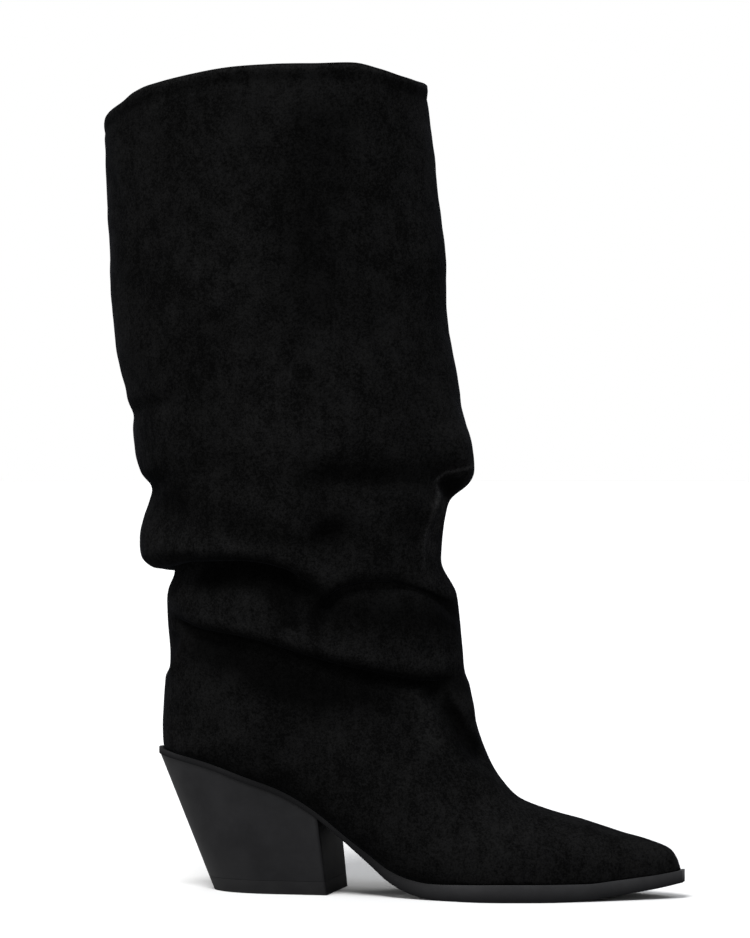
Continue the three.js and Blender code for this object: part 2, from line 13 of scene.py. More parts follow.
import bmesh
import bpy
import numpy as np
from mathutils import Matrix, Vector


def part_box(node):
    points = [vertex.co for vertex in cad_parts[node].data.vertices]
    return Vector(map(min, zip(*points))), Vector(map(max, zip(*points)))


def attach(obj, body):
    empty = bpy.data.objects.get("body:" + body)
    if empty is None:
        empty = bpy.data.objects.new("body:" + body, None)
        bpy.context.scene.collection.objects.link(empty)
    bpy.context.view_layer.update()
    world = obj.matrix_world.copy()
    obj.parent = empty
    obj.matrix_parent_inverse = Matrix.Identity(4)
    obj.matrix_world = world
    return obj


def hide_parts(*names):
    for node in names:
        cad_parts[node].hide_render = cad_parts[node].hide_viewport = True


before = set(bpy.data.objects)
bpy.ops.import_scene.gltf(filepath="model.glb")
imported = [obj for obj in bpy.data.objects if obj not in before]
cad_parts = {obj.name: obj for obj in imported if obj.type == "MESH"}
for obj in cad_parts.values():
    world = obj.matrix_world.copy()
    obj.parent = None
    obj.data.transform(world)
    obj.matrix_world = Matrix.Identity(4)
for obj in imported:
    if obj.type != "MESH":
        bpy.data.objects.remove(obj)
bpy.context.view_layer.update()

MM = 0.001

# values that a mesh's points hold for their finish: the suede's painted light and shade, and how much of a
# satin sheen shows, with painted shade where little shows
PAINTED_LIGHT_AND_SHADE = "painted_light_and_shade"
SHINE_AND_PAINTED_SHADE = "shine_and_painted_shade"

# value of the suede's points where neither painted shade nor painted light lies
UNPAINTED_TONE = 0.5

# share of its colour that a satin face keeps where it has no sheen, darkened there as painted shade
SHADED_SHARE = 0.55

Colour = Tuple[float, float, float]
Pair = Tuple[float, float]
Rows = Dict[str, np.ndarray]

logging.basicConfig(level=logging.INFO, format="%(message)s")
LOG = logging.getLogger("boot")


class Slot(Enum):
    """Material slots of the record, one for each kind of piece."""

    SUEDE = "suede"
    LINING = "lining"
    SOLE = "sole"
    HEEL = "heel"
    LIFT = "top_lift"
    INSOLE = "insole"


def lerp(a: np.ndarray, b: np.ndarray, share: np.ndarray) -> np.ndarray:
    """Returns the value at a share of the way from a to b."""
    return a + (b - a) * share


def smoothstep(low: float, high: float, value: np.ndarray) -> np.ndarray:
    """Eases from 0 to 1 between two values.

    Args:
        low: value where the easing starts.
        high: value where it ends, which may lie below low.
        value: where to read it.

    Returns:
        The eased share, from 0 to 1.
    """
    t = np.clip((value - low) / (high - low), 0.0, 1.0)
    return t * t * (3.0 - 2.0 * t)


def bump(distance: np.ndarray, spread: float) -> np.ndarray:
    """Returns a soft hump of height 1 over a distance, spread wide."""
    return np.exp(-((distance / spread) ** 2))


def hump(value: np.ndarray, start: float, top: float, end: float) -> np.ndarray:
    """Returns a hump that eases from 0 at start up to 1 at top, and down to 0 at end."""
    return smoothstep(start, top, value) * smoothstep(end, top, value)


def run_out(value: np.ndarray, first: float, last: float, fade: float) -> np.ndarray:
    """Returns 1 between two ends, eased down to 0 over fade at both."""
    return smoothstep(first, first + fade, value) * smoothstep(last, last - fade, value)


def wrapped(degrees: np.ndarray, middle: float) -> np.ndarray:
    """Returns turns as the same turns within half a round of a middle one."""
    return middle + np.mod(degrees - middle + 180.0, 360.0) - 180.0


class Curve:
    """Smooth curve through stops that never overshoots between them."""

    def __init__(self, stops: Sequence[float], values: Sequence[float]) -> None:
        """Works out the tangents.

        Args:
            stops: places along the curve, rising.
            values: the curve's value at each place.
        """
        self.stops = np.asarray(stops, float)
        self.values = np.asarray(values, float)
        slopes = np.diff(self.values) / np.diff(self.stops)
        product = slopes[:-1] * slopes[1:]
        total = slopes[:-1] + slopes[1:]
        inner = np.where(product > 0.0, 2.0 * product / np.where(total == 0.0, 1.0, total), 0.0)
        self.tangents = np.concatenate([slopes[:1], inner, slopes[-1:]])

    def __call__(self, place: np.ndarray) -> np.ndarray:
        """Reads the curve.

        Args:
            place: where to read it; beyond the ends it keeps the end's value.

        Returns:
            The curve's value at each place.
        """
        inside = np.clip(place, self.stops[0], self.stops[-1])
        i = np.clip(np.searchsorted(self.stops[1:], inside), 0, len(self.stops) - 2)
        span = self.stops[i + 1] - self.stops[i]
        t = (inside - self.stops[i]) / span
        rise = span * (self.tangents[i] * t * (1.0 - t) ** 2 - self.tangents[i + 1] * t * t * (1.0 - t))
        return lerp(self.values[i], self.values[i + 1], t * t * (3.0 - 2.0 * t)) + rise


@dataclass(frozen=True)
class SoleForm:
    """Shape of the sole and the heel under it, in millimetres."""

    length: float = 266.0
    ball_width: float = 79.0
    seat_width: float = 56.0
    toe_swing: float = 5.5
    seat_round: float = 48.0
    thickness: float = 8.7
    seat_thickness: float = 3.0
    toe_spring: float = 7.8
    heel_height: float = 71.4
    heel_slant: float = 28.9
    heel_foot_length: float = 63.0
    heel_foot_width: float = 46.0
    heel_foot_round: float = 34.0
    heel_seat_length: float = 87.8
    heel_seat_inset: float = 0.6
    lift_thickness: float = 6.7

    # shares of the length where the plan's width turns from the ball's to the seat's
    seat_blend: Pair = (0.42, 0.18)

    # rise of the underside behind the tread, a share of the seat's height, along the sole
    arch_along: Tuple[float, ...] = (0.0, 0.11, 0.19, 0.26, 0.32, 0.38, 0.43, 0.47, 0.51, 0.55, 0.58)
    arch_rise: Tuple[float, ...] = (1.0, 0.914, 0.811, 0.713, 0.583, 0.402, 0.237, 0.110, 0.038, 0.006, 0.0)

    # rise of the underside in front of the tread, a share of the toe spring
    spring_along: Tuple[float, ...] = (0.80, 0.84, 0.88, 0.92, 0.96, 1.00)
    spring_rise: Tuple[float, ...] = (0.0, 0.07, 0.28, 0.49, 0.71, 1.0)

    # thickness, from the seat's (0) to the ball's (1)
    body_along: Tuple[float, ...] = (
        0.0, 0.33, 0.38, 0.43, 0.47, 0.51, 0.56, 0.63, 0.70, 0.79, 0.86, 0.92, 1.0,
    )
    body_grow: Tuple[float, ...] = (
        0.0, 0.0, 0.04, 0.28, 0.53, 0.71, 0.84, 0.94, 1.0, 0.99, 0.84, 0.71, 0.55,
    )

    # plan in front of the seat: half width, a share of the ball width, and swing, a share of the toe's
    plan_along: Tuple[float, ...] = (
        0.18, 0.30, 0.42, 0.50, 0.58, 0.66, 0.75, 0.85, 0.93, 0.975, 1.0,
    )
    plan_half: Tuple[float, ...] = (
        0.354, 0.328, 0.315, 0.360, 0.440, 0.500, 0.470, 0.345, 0.208, 0.112, 0.050,
    )
    plan_swing: Tuple[float, ...] = (
        0.0, -0.15, -0.42, -0.45, -0.35, -0.15, 0.25, 0.70, 0.92, 0.98, 1.0,
    )

    def underside(self, x: np.ndarray) -> np.ndarray:
        """Height of the sole's underside.

        Args:
            x: place along the sole.

        Returns:
            The height at x.
        """
        share = x / self.length
        arch = Curve(self.arch_along, self.arch_rise)(share)
        spring = Curve(self.spring_along, self.spring_rise)(share)
        return (self.heel_height - self.seat_thickness) * arch + self.toe_spring * spring

    def top(self, x: np.ndarray) -> np.ndarray:
        """Returns the height of the sole's upper face at x."""
        grow = Curve(self.body_along, self.body_grow)(x / self.length)
        return self.underside(x) + lerp(self.seat_thickness, self.thickness, grow)

    def centre(self, x: np.ndarray) -> np.ndarray:
        """Returns how far the sole's middle line lies inwards at x."""
        return self.toe_swing * Curve(self.plan_along, self.plan_swing)(x / self.length)

    def half(self, x: np.ndarray, inset: float = 0.0) -> np.ndarray:
        """Half width of the sole's plan.

        Args:
            x: place along the sole.
            inset: how far the outline is drawn in all round.

        Returns:
            The half width at x.
        """
        share = x / self.length
        width_scale = self.seat_width / (2.0 * self.ball_width * self.plan_half[0])
        seated = smoothstep(*self.seat_blend, share)
        plan = Curve(self.plan_along, self.plan_half)(share)
        flank = self.ball_width * plan * lerp(1.0, width_scale, seated) - inset
        back = np.clip((x - inset) / (self.seat_round - inset), 0.0, 1.0)
        return np.maximum(flank, 0.0) * np.sqrt(1.0 - (1.0 - back) ** 2)

    def heel_side(self, share: np.ndarray, side: np.ndarray, up: np.ndarray) -> np.ndarray:
        """Points of the heel's side, which is straight from the floor to the seat.

        Args:
            share: place along the heel, from its back (0) to its breast (1).
            side: -1 on the outer side, 1 on the inner side, and between them inside the heel.
            up: height over the floor, a share of the height of the seat there.

        Returns:
            One point for each share, side and height.
        """
        foot_x = self.heel_slant + self.heel_foot_length * share
        foot_back = np.clip(self.heel_foot_length * share / self.heel_foot_round, 0.0, 1.0)
        foot_half = self.heel_foot_width / 2.0 * np.sqrt(1.0 - (1.0 - foot_back) ** 2)
        seat_x = lerp(self.heel_seat_inset, self.heel_seat_length, share)
        seat_y = self.centre(seat_x) + side * self.half(seat_x, self.heel_seat_inset)
        seat_z = self.underside(seat_x)
        return np.stack([
            lerp(foot_x, seat_x, up), lerp(side * foot_half, seat_y, up), seat_z * up,
        ], axis=-1)


@dataclass(frozen=True)
class Course:
    """A line round the leg: stops of a turn in degrees (0 front, 90 outer, 180 back) and a height share."""

    stops: Tuple[Pair, ...]
    fade: float

    def read(self, degrees: np.ndarray, boot_height: float) -> Tuple[np.ndarray, np.ndarray]:
        """Height of the line and how strongly it shows.

        Args:
            degrees: turn round the leg.
            boot_height: height of the boot that the stops' heights are shares of.

        Returns:
            The height in millimetres, and a strength that runs out over fade degrees at both ends.
        """
        first, last = self.stops[0][0], self.stops[-1][0]
        near = wrapped(degrees, (first + last) / 2.0)
        turns, heights = zip(*self.stops)
        return Curve(turns, heights)(near) * boot_height, run_out(near, first, last, self.fade)


@dataclass(frozen=True)
class Fold:
    """Slouch fold: a roll that swells and droops over a crease. Its sizes are shares of the fold depth."""

    course: Course
    roll: float
    tuck: float
    hang: float
    tall: float


@dataclass(frozen=True)
class Trough:
    """Soft hollow round the leg. deep is a share of the fold depth, spread of the roll height."""

    course: Course
    deep: float
    spread: float


@dataclass(frozen=True)
class Crease:
    """Small crease or ridge on the leg: a path of turns in degrees and heights in millimetres.

    deep sinks the line and a negative one raises it. swell raises the strip beside it, on the left of
    the path's way as seen from outside when the turns fall, at reach widths away. All in millimetres.
    """

    path: Tuple[Pair, ...]
    deep: float
    width: float
    swell: float = 0.0
    reach: float = 1.7
    fade: float = 0.22


@dataclass(frozen=True)
class FootCrease:
    """Crease of the foot in side view: a path of x and z in millimetres, on the outer side of the foot."""

    path: Tuple[Pair, ...]
    deep: float
    width: float
    swell: float
    reach: float = 1.5
    fade: float = 0.25


@dataclass(frozen=True)
class PaintedLightShadeBand:
    """Band of painted shade or painted light on the suede: a path of turns in degrees and heights in
    millimetres.

    A tone below 0 paints shade, and one above 0 paints light. width is the band's half width in
    millimetres. A band of the foot has a path of x and z in side view instead, on the outer side.
    """

    path: Tuple[Pair, ...]
    tone: float
    width: float
    fade: float = 0.2
    on_foot: bool = False


def path_distance(
    path: Sequence[Pair], across: np.ndarray, up: np.ndarray,
) -> Tuple[np.ndarray, np.ndarray]:
    """Signed distance of points from a path on a flat sheet.

    Args:
        path: the path's corners on the sheet.
        across: first place of each point.
        up: second place of each point.

    Returns:
        The distance, positive on the path's left, and the share of the path at its nearest place.
    """
    best = np.full(across.shape, np.inf)
    signed = np.zeros(across.shape)
    along = np.zeros(across.shape)
    for i, ((ax, ay), (bx, by)) in enumerate(zip(path[:-1], path[1:])):
        run_x, run_y = bx - ax, by - ay
        square = run_x * run_x + run_y * run_y
        share = np.clip(((across - ax) * run_x + (up - ay) * run_y) / square, 0.0, 1.0)
        away_x = across - ax - share * run_x
        away_y = up - ay - share * run_y
        distance = np.hypot(away_x, away_y)
        nearer = distance < best
        side = np.where(run_x * away_y - run_y * away_x < 0.0, -1.0, 1.0)
        signed = np.where(nearer, side * distance, signed)
        along = np.where(nearer, (i + share) / (len(path) - 1), along)
        best = np.where(nearer, distance, best)
    return signed, along


@dataclass(frozen=True)
class UpperForm:
    """Shape of the upper: slices of the foot, slices of the shaft and the folds on them."""

    sole: SoleForm = SoleForm()
    instep_height: float = 68.0
    ankle_width: float = 74.0
    boot_height: float = 409.8
    shaft_length: float = 165.0
    shaft_width: float = 108.0
    collar_arch: float = 16.0
    inset: float = 1.6
    fold_depth: float = 8.0
    roll_height: float = 24.0
    lift_off: float = 0.05

    # shares of the sole between which the girth turns from the ball's to the ankle's, and between which
    # the ridge takes up the sole's swing
    girth_blend: Pair = (0.55, 0.10)
    ridge_swing: Pair = (0.05, 0.60)

    # share of a slice's line that climbs to its greatest width, and how it grows up the shaft
    flank_share: float = 0.35
    flank_growth: float = 0.13
    flank_blend: float = 0.25

    # shares of the shaft between which the collar's arch grows
    arch_blend: Pair = (0.60, 0.96)

    # a fold over its crease, in heights of its own: start, top and end of its roll and of its droop, and the
    # middle and spread of the cut under it
    roll_profile: Tuple[float, float, float] = (-0.05, 0.4, 1.4)
    droop_profile: Tuple[float, float, float] = (-0.12, 0.25, 1.3)
    cut_profile: Pair = (-0.1, 0.28)

    # foot slices: base and ridge along the sole, height, greatest half width, its height share, crown
    foot: Tuple[Tuple[float, ...], ...] = (
        (0.9930, 0.9930, 0.000, 0.030, 0.40, 2.0),
        (0.9870, 0.9880, 0.080, 0.052, 0.40, 2.0),
        (0.9720, 0.9740, 0.169, 0.098, 0.40, 2.0),
        (0.9400, 0.9400, 0.240, 0.170, 0.36, 2.1),
        (0.8800, 0.8800, 0.331, 0.287, 0.30, 2.1),
        (0.8100, 0.8100, 0.431, 0.397, 0.28, 2.1),
        (0.7400, 0.7400, 0.507, 0.470, 0.26, 2.0),
        (0.6700, 0.6870, 0.597, 0.497, 0.24, 1.9),
        (0.5900, 0.6590, 0.713, 0.483, 0.26, 1.9),
        (0.5000, 0.6380, 0.853, 0.467, 0.32, 1.9),
        (0.4000, 0.6230, 1.000, 0.462, 0.38, 1.9),
        (0.2900, 0.6110, 1.150, 0.466, 0.42, 1.9),
        (0.1700, 0.6030, 1.315, 0.479, 0.45, 2.0),
        (0.0750, 0.5985, 1.415, 0.491, 0.48, 2.0),
        (0.0200, 0.5920, 1.475, 0.498, 0.50, 2.0),
        (0.0060, 0.5880, 1.515, 0.500, 0.50, 2.0),
    )
    floor_slice: int = 9

    # shaft slices: heights of the back and front ends, middle, how far the length and width have grown
    shaft: Tuple[Tuple[float, ...], ...] = (
        (0.003, 0.010, 0.2968, 0.00, 0.00),
        (0.050, 0.040, 0.2966, -0.14, 0.03),
        (0.115, 0.075, 0.2974, -0.37, 0.12),
        (0.185, 0.125, 0.2953, -0.68, 0.25),
        (0.250, 0.180, 0.2793, -1.31, 0.41),
        (0.315, 0.240, 0.2784, -0.30, 0.56),
        (0.375, 0.300, 0.2750, 0.91, 0.68),
        (0.435, 0.370, 0.2700, 1.23, 0.80),
        (0.510, 0.455, 0.2620, 1.40, 0.92),
        (0.610, 0.570, 0.2365, 1.55, 1.00),
        (0.735, 0.710, 0.2262, 1.59, 1.04),
        (0.860, 0.850, 0.2138, 1.29, 1.03),
        (0.932, 0.979, 0.2062, 1.00, 1.00),
    )
    axis_slice: int = 3
    slouch_slices: Tuple[int, int] = (1, 7)

    # collar line from the back (-1) to the front (1): rise over the straight line, a share of the arch
    collar_along: Tuple[float, ...] = (
        -1.0, -0.91, -0.82, -0.71, -0.60, -0.375, -0.10, 0.20, 0.45, 0.665, 0.80, 0.90, 1.0,
    )
    collar_rise: Tuple[float, ...] = (
        0.0, 0.25, 0.38, 0.60, 0.72, 0.81, 0.89, 0.82, 0.71, 0.63, 0.41, 0.21, 0.0,
    )

    folds: Tuple[Fold, ...] = (
        Fold(Course(((-6, 0.258), (12, 0.263), (40, 0.278), (75, 0.295), (120, 0.317), (150, 0.329),
                     (175, 0.338)), 30.0), 0.40, 0.40, 0.95, 1.1),
        Fold(Course(((58, 0.358), (72, 0.372), (83, 0.386), (94, 0.402), (105, 0.408), (120, 0.411),
                     (142, 0.410), (165, 0.403), (215, 0.390), (250, 0.380)), 35.0), 0.95, 0.70, 1.10, 1.3),
        Fold(Course(((-4, 0.349), (5, 0.355), (13, 0.367), (22, 0.377), (31, 0.383), (43, 0.383),
                     (55, 0.378), (64, 0.368), (72, 0.354), (82, 0.336)), 16.0), 0.20, 0.50, 0.60, 0.9),
        Fold(Course(((-60, 0.475), (-20, 0.477), (0, 0.483), (7, 0.495), (14, 0.508), (26, 0.513)), 20.0),
             0.75, 0.60, 0.15, 1.5),
        Fold(Course(((190, 0.300), (230, 0.318), (275, 0.322), (320, 0.305), (350, 0.290)), 28.0),
             0.50, 0.50, 0.80, 1.1),
    )
    troughs: Tuple[Trough, ...] = (
        Trough(Course(((128, 0.462), (150, 0.472), (172, 0.484), (195, 0.492), (225, 0.486)), 28.0),
               0.70, 0.45),
        Trough(Course(((45, 0.430), (70, 0.432), (95, 0.436), (118, 0.448), (140, 0.462)), 25.0),
               0.50, 0.50),
        Trough(Course(((5, 0.500), (30, 0.497), (60, 0.498), (90, 0.500)), 22.0), 0.40, 0.42),
        Trough(Course(((-30, 0.445), (0, 0.438), (28, 0.436)), 22.0), 0.35, 0.42),
        Trough(Course(((150, 0.302), (170, 0.296), (190, 0.290), (220, 0.285)), 20.0), 0.15, 0.40),
    )

    # instep crease in side view: along the sole and over the ball, a share of the instep's height
    instep_path: Tuple[Pair, ...] = (
        (0.535, 1.44), (0.554, 1.33), (0.592, 1.10), (0.622, 0.91), (0.650, 0.75),
    )
    instep_deep: float = 0.45
    instep_swell: float = 0.22
    instep_spread: float = 0.22
    instep_reach: float = 1.5
    instep_fade: float = 0.3
    instep_side: float = 0.06

    def axis_x(self) -> float:
        """Returns the x of the line that turns round the leg are measured about."""
        return self.shaft[self.axis_slice][2] * self.sole.length

    def sections(self) -> Rows:
        """Returns each value of all slices, in millimetres, from the toe to the collar."""
        sole = self.sole
        base, ridge, height, wide, at, crown = np.array(self.foot).T
        instep_base = sole.top(np.array(self.foot[self.floor_slice][1] * sole.length))
        low_vamp = height < self.foot[self.floor_slice][2]
        floor = np.where(low_vamp, sole.top(ridge * sole.length), instep_base)
        girth = lerp(sole.ball_width, self.ankle_width, smoothstep(*self.girth_blend, base))
        base_half = sole.half(base * sole.length, self.inset)
        foot = {
            "base_x": base * sole.length, "base_z": sole.top(base * sole.length) + self.lift_off,
            "ridge_x": ridge * sole.length,
            "ridge_z": floor + self.lift_off + height * self.instep_height,
            "base_half": base_half, "half": np.maximum(wide * girth, base_half),
            "base_y": sole.centre(base * sole.length),
            "ridge_y": sole.centre(ridge * sole.length) * smoothstep(*self.ridge_swing, base),
            "at": at, "crown": crown, "arch": np.zeros_like(at),
            "lower": np.full_like(at, self.flank_share),
        }
        back, front, middle, deep, wide = np.array(self.shaft).T
        ankle_half = (foot["ridge_x"][-1] - foot["base_x"][-1]) / 2.0
        half = lerp(ankle_half, self.shaft_length / 2.0, deep)
        none = np.zeros_like(back)
        shaft = {
            "base_x": middle * sole.length - half,
            "base_z": lerp(sole.heel_height, self.boot_height, back),
            "ridge_x": middle * sole.length + half,
            "ridge_z": lerp(foot["ridge_z"][-1], self.boot_height, front),
            "base_half": none, "half": lerp(self.ankle_width, self.shaft_width, wide) / 2.0,
            "base_y": none, "ridge_y": none, "at": none + 0.5, "crown": none + 2.0,
            "arch": self.collar_arch * smoothstep(*self.arch_blend, back),
            "lower": self.flank_share + self.flank_growth * smoothstep(0.0, self.flank_blend, back),
        }
        return {name: np.concatenate([foot[name], shaft[name]]) for name in foot}

    def rows(self, spacing: float, fold_spacing: float) -> Tuple[Rows, int]:
        """Values of every mesh row, carried smoothly through the slices.

        Args:
            spacing: distance between rows where the upper is plain.
            fold_spacing: distance between rows where the shaft slouches.

        Returns:
            The rows' values, and the number of rows that stand on the sole.
        """
        cuts = self.sections()
        low = np.hypot(np.diff(cuts["base_x"]), np.diff(cuts["base_z"]))
        high = np.hypot(np.diff(cuts["ridge_x"]), np.diff(cuts["ridge_z"]))
        stops = np.concatenate([[0.0], np.cumsum((low + high) / 2.0)])
        feet = len(self.foot)
        first, last = self.slouch_slices
        places: List[float] = []
        for i, run in enumerate(np.diff(stops)):
            slouch = feet + first <= i <= feet + last
            count = 2 * max(1, round(run / (2.0 * (fold_spacing if slouch else spacing))))
            places.extend(lerp(stops[i], stops[i + 1], np.arange(count) / count))
            if i == feet - 2:
                seated = len(places) + 1
        place = np.array(places + [stops[-1]])
        rows = {name: Curve(stops, values)(place) for name, values in cuts.items()}
        base = rows["base_x"][:seated]
        rows["base_z"][:seated] = self.sole.top(base) + self.lift_off
        rows["base_half"][:seated] = self.sole.half(base, self.inset)
        rows["base_half"][seated:] = 0.0
        rows["base_y"][:seated] = self.sole.centre(base)
        return rows, seated

    def plain(self, rows: Rows, turns: np.ndarray) -> np.ndarray:
        """Points of the upper before it folds.

        Args:
            rows: values of the mesh rows.
            turns: from 0 at the outer edge of the base over the ridge to 1 at its inner edge.

        Returns:
            Points, one row of them for each mesh row.
        """
        row = {name: values[:, None] for name, values in rows.items()}
        climb = 1.0 - np.abs(2.0 * turns[None, :] - 1.0)
        side = np.where(turns[None, :] < 0.5, -1.0, 1.0)
        share = row["lower"]
        low_angle = np.clip(climb / share, 0.0, 1.0) * math.pi / 2.0
        high_angle = np.clip((climb - share) / (1.0 - share), 0.0, 1.0) * math.pi / 2.0
        power = 2.0 / row["crown"]
        below = climb < share
        high = np.where(
            below, row["at"] * (1.0 - np.cos(low_angle)),
            row["at"] + (1.0 - row["at"]) * np.sin(high_angle) ** power,
        )
        half = np.where(
            below, row["base_half"] + (row["half"] - row["base_half"]) * np.sin(low_angle),
            row["half"] * np.maximum(np.cos(high_angle), 0.0) ** power,
        )
        across = lerp(row["base_y"], row["ridge_y"], high) + side * half
        arch = row["arch"] * Curve(self.collar_along, self.collar_rise)(2.0 * high - 1.0)
        return np.stack([
            lerp(row["base_x"], row["ridge_x"], high), across,
            lerp(row["base_z"], row["ridge_z"], high) + arch,
        ], axis=-1)

    def degrees(self, points: np.ndarray) -> np.ndarray:
        """Returns the turn of each point round the leg."""
        return np.degrees(np.arctan2(-points[..., 1], points[..., 0] - self.axis_x()))

    def fold_shift(self, points: np.ndarray) -> Tuple[np.ndarray, np.ndarray]:
        """How far points of the plain upper move to make the slouch folds.

        Args:
            points: points of the plain upper.

        Returns:
            How far each moves out, and how far down.
        """
        degrees = self.degrees(points)
        z = points[..., 2]
        out = np.zeros_like(z)
        down = np.zeros_like(z)
        for fold in self.folds:
            height, strength = fold.course.read(degrees, self.boot_height)
            rise = (z - height) / (fold.tall * self.roll_height)
            swell = hump(rise, *self.roll_profile)
            cut = bump(rise - self.cut_profile[0], self.cut_profile[1])
            droop = hump(rise, *self.droop_profile)
            size = self.fold_depth * strength
            out += size * (fold.roll * swell - fold.tuck * cut)
            down += size * fold.hang * droop
        for trough in self.troughs:
            height, strength = trough.course.read(degrees, self.boot_height)
            rise = (z - height) / (trough.spread * self.roll_height)
            out -= self.fold_depth * strength * trough.deep * bump(rise, 1.0)
        low = self.sole.thickness + self.lift_off
        path = [(along * self.sole.length, low + up * self.instep_height) for along, up in self.instep_path]
        distance, along = path_distance(path, points[..., 0], z)
        spread = self.instep_spread * self.roll_height
        outer = smoothstep(self.instep_side, -self.instep_side, points[..., 1] / self.sole.ball_width)
        size = self.fold_depth * outer * run_out(along, 0.0, 1.0, self.instep_fade)
        swell = bump(distance / spread - self.instep_reach, 1.0)
        out += size * (self.instep_swell * swell - self.instep_deep * bump(distance, spread))
        return out, down


def sheet_normals(grid: np.ndarray, seated: int) -> np.ndarray:
    """Outward direction at each point of the upper's grid.

    Args:
        grid: points by row and column.
        seated: number of rows that are open at the base; the others close round the leg.

    Returns:
        A unit vector for each point.
    """
    before = np.concatenate([grid[:, :1], grid[:, :-1]], axis=1)
    after = np.concatenate([grid[:, 1:], grid[:, -1:]], axis=1)
    for edge in (0, -1):
        before[seated:, edge] = grid[seated:, -2]
        after[seated:, edge] = grid[seated:, 1]
    below = np.concatenate([grid[:1], grid[:-1]])
    above = np.concatenate([grid[1:], grid[-1:]])
    normal = np.cross(after - before, above - below)
    return normal / np.maximum(np.linalg.norm(normal, axis=-1, keepdims=True), 1e-9)


class Workbench:
    """Hand tools that every piece is made with."""

    def __init__(self) -> None:
        """Finds where the maker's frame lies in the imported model."""
        self.origin_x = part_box("outsole")[0].x

    def place(self, points: np.ndarray) -> np.ndarray:
        """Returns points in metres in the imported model's frame."""
        return np.asarray(points, float).reshape(-1, 3) * MM + np.array([self.origin_x, 0.0, 0.0])

    def grid(self, name: str, across: int, up: int, points: np.ndarray) -> bpy.types.Object:
        """Adds a flat grid and shapes it.

        Args:
            name: name of the new piece.
            across: number of faces along a row.
            up: number of rows of faces.
            points: its points in millimetres, row by row.

        Returns:
            The new piece, selected and active.
        """
        bpy.ops.object.select_all(action="DESELECT")
        bpy.ops.mesh.primitive_grid_add(x_subdivisions=across, y_subdivisions=up, size=1.0)
        piece = bpy.context.active_object
        piece.name = name
        piece.data.name = name
        piece.data.vertices.foreach_set("co", self.place(points).ravel())
        piece.data.update()
        return piece

    def mark(self, piece: bpy.types.Object, name: str, values: np.ndarray) -> None:
        """Gives each point of a piece a value that its finish reads."""
        layer = piece.data.attributes.new(name, "FLOAT", "POINT")
        layer.data.foreach_set("value", np.asarray(values, float).ravel())

    def measured(self, piece: bpy.types.Object) -> np.ndarray:
        """Returns a piece's points in millimetres in the maker's frame."""
        points = np.zeros(len(piece.data.vertices) * 3)
        piece.data.vertices.foreach_get("co", points)
        return (points.reshape(-1, 3) - np.array([self.origin_x, 0.0, 0.0])) / MM

    def join(self, pieces: Sequence[bpy.types.Object]) -> bpy.types.Object:
        """Joins pieces.

        Args:
            pieces: the pieces, the first of which stays.

        Returns:
            The first piece with the others joined to it.
        """
        bpy.ops.object.select_all(action="DESELECT")
        for piece in pieces:
            piece.select_set(True)
        bpy.context.view_layer.objects.active = pieces[0]
        bpy.ops.object.join()
        return pieces[0]

    def weld(self, piece: bpy.types.Object, distance: float = 0.01, outward: bool = True) -> None:
        """Merges points that coincide and turns the faces outwards.

        Args:
            piece: the piece to weld.
            distance: how close points are merged, in millimetres.
            outward: whether the faces are turned outwards afterwards.
        """
        bpy.context.view_layer.objects.active = piece
        bpy.ops.object.mode_set(mode="EDIT")
        bpy.ops.mesh.select_all(action="SELECT")
        bpy.ops.mesh.remove_doubles(threshold=distance * MM)
        bpy.ops.mesh.dissolve_degenerate(threshold=0.1 * distance * MM)
        if outward:
            bpy.ops.mesh.select_all(action="SELECT")
            bpy.ops.mesh.normals_make_consistent(inside=False)
        bpy.ops.mesh.select_all(action="DESELECT")
        bpy.ops.object.mode_set(mode="OBJECT")

    def thicken(self, piece: bpy.types.Object, lift: Callable[[np.ndarray], np.ndarray]) -> None:
        """Extrudes a flat grid into a block and sets the height of the copied face.

        Args:
            piece: a grid that is selected and active.
            lift: gives the place of each extruded point, in millimetres, from where it started.
        """
        bpy.ops.object.mode_set(mode="EDIT")
        bpy.ops.mesh.select_all(action="SELECT")
        bpy.ops.mesh.extrude_region_move(TRANSFORM_OT_translate={"value": (0.0, 0.0, MM)})
        bpy.ops.object.mode_set(mode="OBJECT")
        chosen = np.zeros(len(piece.data.vertices), bool)
        piece.data.vertices.foreach_get("select", chosen)
        points = self.measured(piece)
        points[chosen] = lift(points[chosen] - np.array([0.0, 0.0, 1.0]))
        piece.data.vertices.foreach_set("co", self.place(points).ravel())
        piece.data.update()

    def bevel(self, piece: bpy.types.Object, width: float, segments: int, angle: float) -> None:
        """Rounds a piece's sharp edges.

        Args:
            piece: the piece to round.
            width: width of the rounding in millimetres.
            segments: faces across it.
            angle: smallest angle of an edge that is rounded, in degrees.
        """
        bpy.context.view_layer.objects.active = piece
        bevel = piece.modifiers.new("rounded_edges", "BEVEL")
        bevel.width = width * MM
        bevel.segments = segments
        bevel.limit_method = "ANGLE"
        bevel.angle_limit = math.radians(angle)
        bevel.harden_normals = False
        bpy.ops.object.modifier_apply(modifier=bevel.name)

    def smooth(self, piece: bpy.types.Object, angle: float = 180.0) -> None:
        """Shades a piece smooth.

        Args:
            piece: the piece to shade.
            angle: angle in degrees past which an edge stays sharp, 180 for none.
        """
        bpy.ops.object.select_all(action="DESELECT")
        piece.select_set(True)
        bpy.context.view_layer.objects.active = piece
        if angle >= 180.0:
            bpy.ops.object.shade_smooth()
        else:
            bpy.ops.object.shade_smooth_by_angle(angle=math.radians(angle))

    def hand_over(self, piece: bpy.types.Object, slot: Slot, node: str = "") -> None:
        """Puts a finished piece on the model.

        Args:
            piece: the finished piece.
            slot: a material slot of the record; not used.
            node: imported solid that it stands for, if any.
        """
        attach(piece, "root")
        if node:
            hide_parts(node)
        heights = [vertex.co.z for vertex in piece.data.vertices]
        faces = len(piece.data.polygons)
        LOG.info("%s: %d faces, %.4f to %.4f m", piece.name, faces, min(heights), max(heights))


Value = Union["Socket", float, Tuple[float, ...]]


